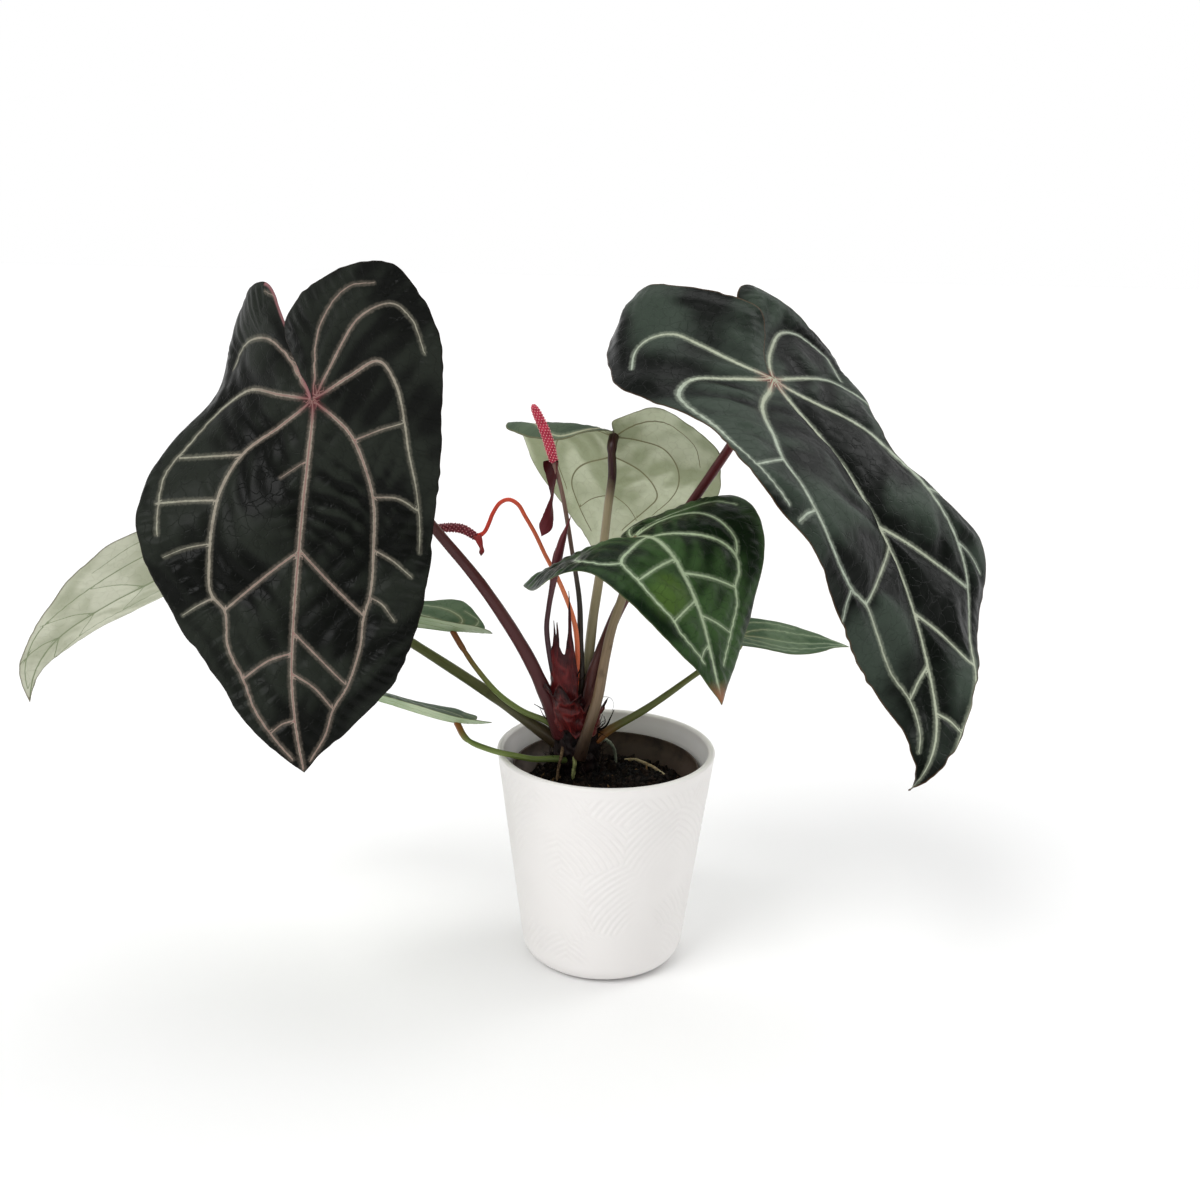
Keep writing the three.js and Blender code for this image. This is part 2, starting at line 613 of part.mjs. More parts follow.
const soilCutters = [toSolid(stemBody(GAP))];
ROOTS.forEach((root, k) => {
  const radiusAt = (u) => root.radius * (1 - 0.35 * u);
  addMesh(`root_${k + 1}`, carve(tapered(root.course, radiusAt, { steps: 10 }), crown), root.color, 0.8);
  soilCutters.push(toSolid(tapered(root.course, radiusAt, { steps: 10, grow: GAP })));
});
addMesh('soil', soilBody(soilCutters), 0x1e1712, 0.95);

export default part;
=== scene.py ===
"""A potted anthurium hybrid: velvety heart-shaped leaves, two flower spikes and a grooved white pot.

Sizes are in millimetres in the classes and become metres when a mesh is made.
"""

import logging
import math
from dataclasses import dataclass, field
from enum import Enum
from typing import Callable, Iterable, Sequence

import bpy
import numpy as np
from mathutils import Matrix, Vector
from mathutils.geometry import delaunay_2d_cdt


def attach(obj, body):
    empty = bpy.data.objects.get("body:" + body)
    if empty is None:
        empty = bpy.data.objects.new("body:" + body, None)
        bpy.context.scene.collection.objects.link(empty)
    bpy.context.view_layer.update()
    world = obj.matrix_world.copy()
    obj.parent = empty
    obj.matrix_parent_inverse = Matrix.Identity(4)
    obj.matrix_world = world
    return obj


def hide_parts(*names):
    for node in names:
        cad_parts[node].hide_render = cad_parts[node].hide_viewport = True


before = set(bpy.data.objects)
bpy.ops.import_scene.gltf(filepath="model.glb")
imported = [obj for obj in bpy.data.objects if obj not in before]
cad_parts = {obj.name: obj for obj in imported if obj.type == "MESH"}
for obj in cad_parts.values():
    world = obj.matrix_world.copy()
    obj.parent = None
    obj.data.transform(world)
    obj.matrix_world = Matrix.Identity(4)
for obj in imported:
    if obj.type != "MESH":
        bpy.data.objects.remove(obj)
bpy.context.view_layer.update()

MM = 0.001
BODY = "root"
BLADE_THICKNESS = 0.8
SHEATH_THICKNESS = 0.45
GOLDEN_TURN = math.pi * (3 - math.sqrt(5))
FULL_TURN = 2 * math.pi
NOISE_VALUES = 4096
NOISE_KEYS = (73856093, 19349663, 83492791)
CELL_SEEDS = 2048
CELL_KEYS = (7919, 104729)
FAR = 1e9
SPIKE_FOOT = 0.75
SPIKE_TAPER = 0.16
SPIKE_BLUNTNESS = 12
SPIKE_END = 0.02
SPIKE_INSET = 0.35

Points = np.ndarray
Socket = bpy.types.NodeSocket
Colour = tuple[float, float, float]
Place = tuple[float, float, float]
Flat = tuple[float, float]

log = logging.getLogger("anthurium")


class Half(Enum):
    """The half of a blade that a vein or a margin belongs to, seen from above with the tip away."""

    LEFT = -1
    RIGHT = 1


def linear(colour: Colour) -> tuple[float, float, float, float]:
    """Turns a screen colour from 0 to 255 into the linear colour that a shader takes."""
    parts = [c / 255 for c in colour]
    return (*[p / 12.92 if p <= 0.04045 else ((p + 0.055) / 1.055) ** 2.4 for p in parts], 1.0)


def shade(colour: Colour, share: float) -> Colour:
    """A darker tone of a screen colour."""
    return tuple(share * c for c in colour)


def smooth_step(low: float, high: float, value: Points) -> Points:
    """Rises smoothly from 0 at low to 1 at high."""
    x = np.clip((value - low) / (high - low), 0, 1)
    return x * x * (3 - 2 * x)


def hermite(stations: Sequence[float], values: Sequence[float], at: Points) -> Points:
    """Interpolates smoothly through values at stations.

    Args:
        stations: Rising positions of the known values.
        values: The known values.
        at: Positions to interpolate at, held to the ends of the stations.

    Returns:
        The interpolated values.
    """
    xs = np.asarray(stations, float)
    ys = np.asarray(values, float)
    x = np.clip(np.asarray(at, float), xs[0], xs[-1])
    last = len(xs) - 1
    before = np.maximum(np.arange(last + 1) - 1, 0)
    after = np.minimum(np.arange(last + 1) + 1, last)
    slopes = (ys[after] - ys[before]) / (xs[after] - xs[before])
    i = np.clip(np.searchsorted(xs, x, side="left") - 1, 0, last - 1)
    h = xs[i + 1] - xs[i]
    u = (x - xs[i]) / h
    u2 = u * u
    u3 = u2 * u
    ends = (2 * u3 - 3 * u2 + 1) * ys[i] + (3 * u2 - 2 * u3) * ys[i + 1]
    return ends + (u3 - 2 * u2 + u) * h * slopes[i] + (u3 - u2) * h * slopes[i + 1]


def lattice_noise(points: Points, size: float, seed: int) -> Points:
    """Smooth noise from -1 to 1.

    Args:
        points: Places, one row each, with two or three columns.
        size: How far apart the noise's hills are, in the points' unit.
        seed: Picks the noise.

    Returns:
        One value for each point.
    """
    table = np.random.default_rng(seed).uniform(-1, 1, NOISE_VALUES)
    p = np.asarray(points, float) / size + 1000.0
    if p.shape[1] == 2:
        p = np.column_stack([p, np.zeros(len(p))])
    cell = np.floor(p).astype(np.int64)
    u = p - cell
    u = u * u * (3 - 2 * u)
    total = np.zeros(len(p))
    for corner in range(8):
        step = np.array([corner & 1, corner >> 1 & 1, corner >> 2 & 1])
        x, y, z = ((cell + step) * NOISE_KEYS).T
        weight = np.prod(np.where(step == 1, u, 1 - u), axis=1)
        total += weight * table[(x ^ y ^ z) % NOISE_VALUES]
    return total


def cell_bulge(points: Points, size: float, seed: int) -> Points:
    """Pillowed cells: 1 in the middle of a cell and 0 along its edges.

    Args:
        points: Places with two columns.
        size: How wide a cell is.
        seed: Picks the cells.

    Returns:
        One value from 0 to 1 for each point.
    """
    table = np.random.default_rng(seed).uniform(0.1, 0.9, (CELL_SEEDS, 2))
    p = np.asarray(points, float)[:, :2] / size + 500.0
    cell = np.floor(p).astype(np.int64)
    first, second = np.full(len(p), FAR), np.full(len(p), FAR)
    for dx in (-1, 0, 1):
        for dy in (-1, 0, 1):
            key = cell + np.array([dx, dy])
            seeds = table[(key * CELL_KEYS).sum(1) % CELL_SEEDS]
            distance = np.linalg.norm(key + seeds - p, axis=1)
            second = np.where(distance < first, first, np.minimum(second, distance))
            first = np.minimum(first, distance)
    return smooth_step(0.0, 0.55, second - first)


def running_length(line: Points) -> Points:
    """The length of a line up to each of its points."""
    return np.concatenate([[0], np.cumsum(np.linalg.norm(np.diff(line, axis=0), axis=1))])


def even_steps(line: Points, spacing: float) -> Points:
    """Resamples a line at even steps.

    Args:
        line: Points along the line.
        spacing: The wanted step, which is stretched a little to fit.

    Returns:
        Points along the line, ends included.
    """
    length = running_length(line)
    count = max(int(round(length[-1] / spacing)), 4)
    at = np.linspace(0, length[-1], count + 1)
    return np.column_stack([np.interp(at, length, column) for column in line.T])


def course_points(knots: Sequence[Place], spacing: float) -> Points:
    """Samples the smooth curve through a few knots at even steps.

    Args:
        knots: Points that the curve passes through.
        spacing: The wanted step along the curve.

    Returns:
        Points along the curve, ends included.
    """
    k = np.asarray(knots, float)
    k = np.vstack([2 * k[0] - k[1], k, 2 * k[-1] - k[-2]])
    dense = []
    for i in range(1, len(k) - 2):
        p0, p1, p2, p3 = k[i - 1 : i + 3]
        d0, d1, d2 = (max(np.linalg.norm(b - a), 1e-3) ** 0.5 for a, b in ((p0, p1), (p1, p2), (p2, p3)))
        m1 = ((p1 - p0) / d0 - (p2 - p0) / (d0 + d1) + (p2 - p1) / d1) * d1
        m2 = ((p2 - p1) / d1 - (p3 - p1) / (d1 + d2) + (p3 - p2) / d2) * d1
        u = np.linspace(0, 1, 40, endpoint=False)[:, None]
        dense.append(
            (2 * u**3 - 3 * u**2 + 1) * p1 + (u**3 - 2 * u**2 + u) * m1
            + (3 * u**2 - 2 * u**3) * p2 + (u**3 - u**2) * m2
        )
    return even_steps(np.vstack([*dense, k[-2][None]]), spacing)


def travelling_frames(line: Points) -> tuple[Points, Points, Points]:
    """Directions along and across a line, without needless twist.

    Args:
        line: Points along the line.

    Returns:
        At each point the tangent and two directions across it.
    """
    tangent = np.gradient(line, axis=0)
    tangent /= np.linalg.norm(tangent, axis=1)[:, None]
    start = np.cross(tangent[0], [0.0, 1.0, 0.0])
    if np.linalg.norm(start) < 0.2:
        start = np.cross(tangent[0], [1.0, 0.0, 0.0])
    across = [start / np.linalg.norm(start)]
    for t in tangent[1:]:
        side = across[-1] - t * np.dot(across[-1], t)
        across.append(side / np.linalg.norm(side))
    across = np.array(across)
    return tangent, across, np.cross(tangent, across)


def make_object(name: str, points: Points, faces: Iterable, attributes: dict[str, Points] | None = None,
                smooth: bool = True) -> bpy.types.Object:
    """Makes a mesh object whose place is in its mesh.

    Args:
        name: The object's name.
        points: Vertices in millimetres.
        faces: Vertex numbers of each face.
        attributes: Values for each vertex, one column or three, by name.
        smooth: Whether the faces are shaded smoothly.

    Returns:
        The new object, linked into the scene.
    """
    mesh = bpy.data.meshes.new(name)
    mesh.from_pydata((np.asarray(points, float) * MM).tolist(), [], [tuple(map(int, f)) for f in faces])
    for key, values in (attributes or {}).items():
        values = np.asarray(values, float)
        if values.ndim == 1:
            mesh.attributes.new(key, "FLOAT", "POINT").data.foreach_set("value", values)
        else:
            mesh.attributes.new(key, "FLOAT_VECTOR", "POINT").data.foreach_set("vector", values.ravel())
    mesh.polygons.foreach_set("use_smooth", np.full(len(mesh.polygons), smooth))
    mesh.update()
    thing = bpy.data.objects.new(name, mesh)
    bpy.context.scene.collection.objects.link(thing)
    return thing


def finish_piece(piece: bpy.types.Object, material: bpy.types.Material | None = None,
                 stands_for: Sequence[str] = ()) -> None:
    """Gives a piece its material, hangs it on the body, hides the CAD nodes that it stands for and logs it.

    Args:
        piece: The finished piece.
        material: Its material, or None where its mesh has its own already.
        stands_for: The CAD nodes that it stands for.
    """
    if material is not None:
        piece.data.materials.clear()
        piece.data.materials.append(material)
    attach(piece, BODY)
    if stands_for:
        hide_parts(*stands_for)
    log.info("%s: %d faces", piece.name, len(piece.data.polygons))


def grid_faces(rows: int, columns: int, closed: bool, start: int = 0, flip: bool = False) -> list[tuple]:
    """Quads of a grid whose vertices run row by row.

    Args:
        rows: How many rows of vertices there are.
        columns: How many vertices a row has.
        closed: Whether each row is a ring.
        start: The number of the first vertex.
        flip: Whether the quads face the other way.

    Returns:
        The faces.
    """
    faces = []
    for r in range(rows - 1):
        for c in range(columns if closed else columns - 1):
            a = start + r * columns + c
            b = start + r * columns + (c + 1) % columns
            quad = (a, b, b + columns, a + columns)
            faces.append(quad[::-1] if flip else quad)
    return faces


def shell_faces(rings: int, segments: int, flip: bool = False) -> list[tuple]:
    """Faces of rings that a pole closes at both ends, where the two poles are the last vertices.

    Args:
        rings: How many rings there are.
        segments: How many vertices a ring has.
        flip: Whether the faces are turned the other way.

    Returns:
        The faces.
    """
    faces = grid_faces(rings, segments, closed=True, flip=flip)
    low, high, last = rings * segments, rings * segments + 1, (rings - 1) * segments
    for c in range(segments):
        d = (c + 1) % segments
        a, b = (c, d) if flip else (d, c)
        faces += [(low, a, b), (high, last + b, last + a)]
    return faces


def ring_turns(count: int) -> Points:
    """Evenly spread turns round a circle, in radians."""
    return np.arange(count) * FULL_TURN / count


def turn_profile(profile: Sequence[Flat], segments: int, centre: Flat = (0, 0)) -> tuple[Points, list[tuple]]:
    """Turns a profile of (radius, height), which starts and ends on the axis, into a closed shell.

    Args:
        profile: Points from the bottom of the axis round the outside to its top or inner end.
        segments: How many steps there are round the axis.
        centre: Where the axis stands.

    Returns:
        Vertices and faces, with the two poles last.
    """
    rings = [(r, z) for r, z in profile if r > 1e-6]
    turn = ring_turns(segments)
    rows = [np.column_stack([r * np.cos(turn), r * np.sin(turn), np.full(segments, z)]) for r, z in rings]
    points = np.vstack([*rows, [[0, 0, profile[0][1]], [0, 0, profile[-1][1]]]])
    points[:, :2] += centre
    return points, shell_faces(len(rings), segments)


class Graph:
    """A node tree under construction, for a material or for geometry."""

    def __init__(self, tree: bpy.types.NodeTree) -> None:
        """Keeps the tree to be filled."""
        self.tree = tree

    def feed(self, socket: Socket, value: object) -> None:
        """Links or sets one input.

        Args:
            socket: The input.
            value: Another node's output, or a plain value.
        """
        if isinstance(value, Socket):
            self.tree.links.new(value, socket)
        else:
            socket.default_value = value

    def add(self, kind: str, inputs: dict | None = None, **settings: object) -> bpy.types.Node:
        """Adds a node.

        Args:
            kind: The node's type name.
            inputs: A value or another node's output, by the input's name or number.
            settings: Properties of the node itself.

        Returns:
            The new node.
        """
        node = self.tree.nodes.new(kind)
        for key, value in settings.items():
            setattr(node, key, value)
        for key, value in (inputs or {}).items():
            self.feed(node.inputs[key], value)
        return node

    def maths(self, operation: str, a: object, b: object = 0.0) -> Socket:
        """One arithmetic step."""
        return self.add("ShaderNodeMath", {0: a, 1: b}, operation=operation).outputs[0]

    def plus(self, a: object, b: object) -> Socket:
        """The sum of two values."""
        return self.maths("ADD", a, b)

    def minus(self, a: object, b: object) -> Socket:
        """The first value less the second."""
        return self.maths("SUBTRACT", a, b)

    def times(self, a: object, b: object) -> Socket:
        """The product of two values."""
        return self.maths("MULTIPLY", a, b)

    def shifted(self, place: Socket, by: Socket) -> Socket:
        """A place or direction with another added."""
        return self.add("ShaderNodeVectorMath", {0: place, 1: by}, operation="ADD").outputs[0]

    def scaled(self, direction: Socket, by: object) -> Socket:
        """A direction made longer or shorter."""
        return self.add("ShaderNodeVectorMath", {0: direction, "Scale": by}, operation="SCALE").outputs[0]


class Paint(Graph):
    """A surface material under construction."""

    def __init__(self, name: str) -> None:
        """Starts a material with one Principled shader."""
        self.material = bpy.data.materials.new(name)
        self.material.use_nodes = True
        super().__init__(self.material.node_tree)
        self.shader = self.tree.nodes["Principled BSDF"]

    def attribute(self, name: str, vector: bool = False) -> Socket:
        """Reads a value stored on the mesh."""
        return self.add("ShaderNodeAttribute", attribute_name=name).outputs["Vector" if vector else "Fac"]

    def own_place(self, scale: Place = (1, 1, 1)) -> Socket:
        """Object coordinates, in metres, stretched by scale."""
        source = self.add("ShaderNodeTexCoord").outputs["Object"]
        return self.add("ShaderNodeMapping", {"Vector": source, "Scale": scale}).outputs["Vector"]

    def noise(self, place: Socket, scale: float, detail: float = 3, rough: float = 0.5) -> Socket:
        """Cloudy noise from 0 to 1."""
        inputs = {"Vector": place, "Scale": scale, "Detail": detail, "Roughness": rough}
        return self.add("ShaderNodeTexNoise", inputs).outputs["Fac"]

    def cells(self, place: Socket, scale: float) -> Socket:
        """Distance to the edges of random cells."""
        node = self.add("ShaderNodeTexVoronoi", {"Vector": place, "Scale": scale}, feature="DISTANCE_TO_EDGE")
        return node.outputs["Distance"]

    def ease(self, value: Socket, low: float, high: float, start: float = 0.0, end: float = 1.0) -> Socket:
        """Goes smoothly from start, where the value is low, to end, where it is high."""
        inputs = {"Value": value, "From Min": low, "From Max": high, "To Min": start, "To Max": end}
        return self.add("ShaderNodeMapRange", inputs, interpolation_type="SMOOTHSTEP").outputs["Result"]

    def mix(self, factor: object, a: Socket | Colour, b: Socket | Colour) -> Socket:
        """Mixes two colours, given as sockets or as screen colours."""
        a, b = (colour if isinstance(colour, Socket) else linear(colour) for colour in (a, b))
        return self.add("ShaderNodeMix", {0: factor, 6: a, 7: b}, data_type="RGBA").outputs[2]

    def bump(self, height: Socket, depth_mm: float, under: Socket | None = None) -> Socket:
        """Turns a height into a normal.

        Args:
            height: The height, from 0 to 1.
            depth_mm: How deep a height of 1 is, in millimetres.
            under: The normal that it lies on, if any.

        Returns:
            The normal.
        """
        inputs = {"Height": height, "Distance": depth_mm * MM, "Strength": 1.0}
        if under is not None:
            inputs["Normal"] = under
        return self.add("ShaderNodeBump", inputs).outputs["Normal"]

    def dress(self, **inputs: object) -> bpy.types.Material:
        """Feeds the shader.

        Args:
            inputs: Values or outputs by the socket's name, with _ for a space.

        Returns:
            The material.
        """
        for key, value in inputs.items():
            self.feed(self.shader.inputs[key.replace("_", " ")], value)
        return self.material


@dataclass(frozen=True)
class LeafMarks:
    """What a leaf's material reads from its mesh, with the noises laid over it.

    place is the place on the blade in millimetres, line the distance to the nearest vein in its half
    widths, gap the distance beyond that vein's edge, net 1 on a fine veinlet, cloud the tone of the
    ground, which is partly random mottling and partly painted light that is lighter up the folds and
    darker in their hollows, and from_join the distance from the stalk.
    """

    place: Socket
    line: Socket
    gap: Socket
    net: Socket
    cloud: Socket
    from_join: Socket


@dataclass(frozen=True)
class LeafFinish:
    """Colours and surface of a leaf blade.

    The upper side has pale feathered veins on a velvety ground, and the underside is paler and smoother.
    Both sides carry painted highlight up their folds and painted shade in the hollows.
    """

    name: str
    ground: Colour
    ground_mottle_and_highlight: Colour
    vein: Colour
    vein_core: Colour
    vein_far: Colour
    join: Colour
    under: Colour
    under_vein: Colour
    under_mottle_and_highlight: Colour = (190, 195, 172)
    margin: Colour = (70, 60, 45)
    sinus: Colour | None = None
    tip: Colour | None = None
    tip_start: float = 0.85
    patch: Colour | None = None
    patch_at: Place = (0, 0, 0)
    patch_size: float = 22
    net: float = 0.25
    spurs: float = 0.35
    halo: float = 0.3
    join_reach: float = 34
    roughness: float = 0.5
    gloss: float = 0.08

    def marks(self, p: Paint) -> LeafMarks:
        """Reads the mesh's leaf measures.

        Args:
            p: The material under construction.

        Returns:
            The measures and the noises over them.
        """
        place = p.attribute("leaf_place", vector=True)
        warp = p.add("ShaderNodeTexNoise", {"Vector": place, "Scale": 0.12, "Detail": 2}).outputs["Color"]
        net = p.ease(p.cells(p.shifted(place, p.scaled(warp, 9.0)), 0.14), 0.0, 0.05, 1.0, 0.0)
        line = p.maths("ABSOLUTE", p.attribute("vein_line"))
        # Random mottling mixed with the fold measure: painted highlight on fold crests, painted shade in
        # hollows.
        cloud = p.plus(p.times(p.noise(place, 0.035, 3, 0.55), 0.45), p.times(p.attribute("fold_lighting"), 0.55))
        from_join = p.add("ShaderNodeVectorMath", {0: place}, operation="LENGTH").outputs["Value"]
        return LeafMarks(place, line, p.attribute("vein_gap"), net, cloud, from_join)

    def material(self) -> bpy.types.Material:
        """Builds the material from the mesh's own leaf measures.

        Returns:
            The material.
        """
        p = Paint(self.name)
        at = self.marks(p)
        colour = p.mix(p.attribute("under"), self.upper_side(p, at), self.underside(p, at))
        if self.tip is not None:
            burnt = p.plus(p.attribute("toward_tip"), p.times(p.minus(at.cloud, 0.5), 0.12))
            colour = p.mix(p.ease(burnt, self.tip_start, self.tip_start + 0.1), colour, self.tip)
        edge = p.attribute("margin")
        colour = p.mix(p.ease(edge, 0.2, 1.0, 0.7, 0.0), colour, self.margin)
        if self.sinus is not None:
            strip = p.times(p.ease(edge, 0.8, 2.4, 0.85, 0.0), p.attribute("sinus"))
            colour = p.mix(strip, colour, self.sinus)
        velvet = p.bump(p.noise(at.place, 1.6, 2, 0.6), 0.05)
        relief = p.bump(p.minus(1.0, at.net), 0.12, velvet)
        rough = p.ease(at.cloud, 0.2, 0.8, self.roughness - 0.06, self.roughness + 0.08)
        return p.dress(Base_Color=colour, Roughness=rough, Normal=relief, Specular_IOR_Level=self.gloss)

    def vein_mask(self, p: Paint, at: LeafMarks) -> Socket:
        """Where the upper side's veins are, with ragged edges and short spurs.

        Args:
            p: The material under construction.
            at: The leaf's measures.

        Returns:
            The mask, from 0 to 1.
        """
        fine = p.minus(p.noise(at.place, 0.5, 3, 0.65), 0.5)
        wide = p.minus(p.noise(at.place, 0.09, 2, 0.5), 0.5)
        ragged = p.plus(at.line, p.plus(p.times(fine, 1.6), p.times(wide, 0.9)))
        body = p.times(p.ease(ragged, 0.7, 1.4, 1.0, 0.0), p.ease(at.gap, 0.5, 1.5, 1.0, 0.0))
        misty = p.plus(at.gap, p.times(fine, 3.0))
        halo = p.times(p.ease(misty, 0.2, 2.2, self.halo, 0.0), p.ease(at.gap, 1.6, 2.6, 1.0, 0.0))
        spur = p.times(at.net, p.ease(at.gap, 0.2, 2.4, self.spurs, 0.0))
        return p.maths("MAXIMUM", body, p.maths("MAXIMUM", halo, spur))

    def upper_side(self, p: Paint, at: LeafMarks) -> Socket:
        """Paints the ground, the patch, the veinlets and the veins of the upper side.

        Args:
            p: The material under construction.
            at: The leaf's measures.

        Returns:
            The colour.
        """
        # The lighter ground colour is random mottling and painted highlight on the fold crests; the darker is
        # painted shade in the hollows.
        ground = p.mix(p.ease(at.cloud, 0.35, 0.7), self.ground, self.ground_mottle_and_highlight)
        if self.patch is not None:
            away = p.add("ShaderNodeVectorMath", {0: at.place, 1: self.patch_at}, operation="DISTANCE")
            blot = p.plus(away.outputs["Value"], p.times(at.cloud, self.patch_size))
            glow = p.ease(blot, self.patch_size, self.patch_size * 1.9, 0.75, 0.0)
            ground = p.mix(glow, ground, self.patch)
        ground = p.mix(p.times(at.net, self.net), ground, shade(self.ground, 0.72))
        ground = p.mix(p.ease(at.from_join, 1.0, 6.0, 0.8, 0.0), ground, shade(self.join, 0.6))
        across = p.maths("ABSOLUTE", p.add("ShaderNodeSeparateXYZ", {0: at.place}).outputs["Y"])
        flank = p.mix(p.ease(across, 25.0, 70.0), self.vein, self.vein_far)
        dull = p.ease(p.noise(at.place, 0.15, 3, 0.6), 0.35, 0.75, 0.0, 0.5)
        flank = p.mix(dull, flank, shade(self.vein, 0.7))
        flank = p.mix(p.ease(at.from_join, 3.0, self.join_reach, 0.95, 0.0), flank, self.join)
        core = p.times(p.ease(at.line, 0.1, 0.55, 0.9, 0.0), p.ease(across, 20.0, 60.0, 1.0, 0.0))
        return p.mix(self.vein_mask(p, at), ground, p.mix(core, flank, self.vein_core))

    def underside(self, p: Paint, at: LeafMarks) -> Socket:
        """Paints the ground, the veinlets and the ridges of the underside.

        Args:
            p: The material under construction.
            at: The leaf's measures.

        Returns:
            The colour.
        """
        # The paler underside colour is random mottling and painted highlight on the fold crests; the other is
        # painted shade in the hollows.
        ground = p.mix(p.ease(at.cloud, 0.35, 0.65), self.under, self.under_mottle_and_highlight)
        ground = p.mix(p.times(at.net, 0.12), ground, self.under_vein)
        ridge = p.times(p.ease(at.line, 0.5, 1.2, 1.0, 0.0), p.ease(at.gap, 0.3, 1.0, 1.0, 0.0))
        return p.mix(ridge, ground, self.under_vein)


@dataclass(frozen=True)
class StalkFinish:
    """Colours of a round stalk from its foot to its top, with lengthwise streaks."""

    name: str
    foot: Colour
    middle: Colour
    top: Colour
    roughness: float = 0.38
    streak: float = 0.35
    foot_end: float = 0.5
    top_start: float = 0.45
    top_end: float = 0.97

    def material(self) -> bpy.types.Material:
        """Builds the material from the stalk's own length and turn.

        Returns:
            The material.
        """
        p = Paint(self.name)
        along = p.attribute("along")
        place = p.attribute("stalk_place", vector=True)
        streaks = p.noise(place, 1.0, 4, 0.6)
        blotch = p.noise(p.own_place(), 90.0, 3, 0.5)
        colour = p.mix(p.ease(along, 0.0, self.foot_end), self.foot, self.middle)
        colour = p.mix(p.ease(along, self.top_start, self.top_end), colour, self.top)
        dark = p.mix(0.5, self.foot, (18, 12, 10))
        colour = p.mix(p.times(p.ease(streaks, 0.45, 0.75), self.streak), colour, dark)
        colour = p.mix(p.ease(blotch, 0.62, 0.75, 0.0, 0.35), colour, dark)
        normal = p.bump(streaks, 0.12)
        rough = p.ease(blotch, 0.3, 0.8, self.roughness - 0.06, self.roughness + 0.12)
        return p.dress(Base_Color=colour, Roughness=rough, Normal=normal, Specular_IOR_Level=0.3)


@dataclass(frozen=True)
class CrustFinish:
    """Rough matter, such as bark, roots or potting mix, in two colours."""

    name: str
    dark: Colour
    light: Colour
    scale: float
    roughness: float = 0.85
    depth: float = 0.3
    grain: Place = (1, 1, 1)

    def material(self) -> bpy.types.Material:
        """Builds the material on the piece's own coordinates.

        Returns:
            The material.
        """
        p = Paint(self.name)
        place = p.own_place(self.grain)
        coarse = p.noise(place, self.scale, 4, 0.65)
        fine = p.noise(place, self.scale * 5, 3, 0.6)
        tone = p.plus(p.times(coarse, 0.7), p.times(fine, 0.3))
        colour = p.mix(p.ease(tone, 0.38, 0.68), self.dark, self.light)
        normal = p.bump(tone, self.depth)
        return p.dress(Base_Color=colour, Roughness=self.roughness, Normal=normal, Specular_IOR_Level=0.12)


@dataclass(frozen=True)
class PaperFinish:
    """A dry papery sheath with lengthwise fibres, darker towards its tip, with painted shade in the hollows
    and painted highlight on the ridges of a crumpled wrap.
    """

    name: str
    body: Colour
    pale: Colour
    tip: Colour
    roughness: float = 0.55
    lining: Colour | None = None

    def material(self) -> bpy.types.Material:
        """Builds the material from the sheath's own leaf measures.

        Returns:
            The material.
        """
        p = Paint(self.name)
        place = p.attribute("leaf_place", vector=True)
        drawn = p.add("ShaderNodeMapping", {"Vector": place, "Scale": (0.12, 2.2, 1)}).outputs["Vector"]
        fibres = p.noise(drawn, 1.0, 4, 0.6)
        cloud = p.noise(place, 0.12, 3, 0.5)
        colour = p.mix(p.ease(fibres, 0.4, 0.7, 0.0, 0.8), self.body, self.pale)
        colour = p.mix(p.ease(cloud, 0.5, 0.75, 0.0, 0.6), colour, self.tip)
        colour = p.mix(p.ease(p.attribute("toward_tip"), 0.45, 1.0, 0.0, 0.8), colour, self.tip)
        # Painted shade in the hollows of a crumpled wrap, in the tip colour, and painted highlight on its
        # ridges, in the pale colour.
        crumple_shading = p.attribute("crumple_shading")
        painted_crease_shade = p.times(p.ease(crumple_shading, 1.1, 1.55, 0.8, 0.0), p.maths("GREATER_THAN", crumple_shading, 0.5))
        colour = p.mix(painted_crease_shade, colour, self.tip)
        colour = p.mix(p.ease(crumple_shading, 1.8, 1.98, 0.0, 0.5), colour, self.pale)
        if self.lining is not None:
            colour = p.mix(p.ease(p.attribute("under"), 0.2, 0.8, 0.85, 0.0), colour, self.lining)
        return p.dress(Base_Color=colour, Roughness=self.roughness, Normal=p.bump(fibres, 0.15),
                       Specular_IOR_Level=0.22)


@dataclass(frozen=True)
class GlazeFinish:
    """Satin white glaze, with the inside painted whiter than the outside as painted light on the inner wall.
    """

    name: str
    outside: Colour
    inside: Colour
    roughness: float = 0.38

    def material(self) -> bpy.types.Material:
        """Builds the material on the pot's own coordinates and the attribute that marks its inside.

        Returns:
            The material.
        """
        p = Paint(self.name)
        place = p.own_place()
        cloud = p.noise(place, 14.0, 3, 0.5)
        speck = p.noise(place, 700.0, 2, 0.5)
        white = p.mix(p.ease(cloud, 0.3, 0.7, 0.0, 0.5), self.outside, tuple(c - 7 for c in self.outside))
        # Painted light: the inside is a whiter copy of the glaze, so that the inner wall reads bright where
        # it lies in shade.
        inside = p.mix(p.ease(cloud, 0.3, 0.7), self.inside, tuple(c - 12 for c in self.inside))
        # Painted shade: the grooves are a little darker than the wall between them.
        white = p.mix(p.attribute("groove"), white, tuple(c - 4 for c in self.outside))
        colour = p.mix(p.attribute("inside"), white, inside)
        rough = p.ease(cloud, 0.3, 0.8, self.roughness, self.roughness + 0.1)
        return p.dress(Base_Color=colour, Roughness=rough, Normal=p.bump(speck, 0.03), Coat_Weight=0.15,
                       Coat_Roughness=0.25, Specular_IOR_Level=0.45)


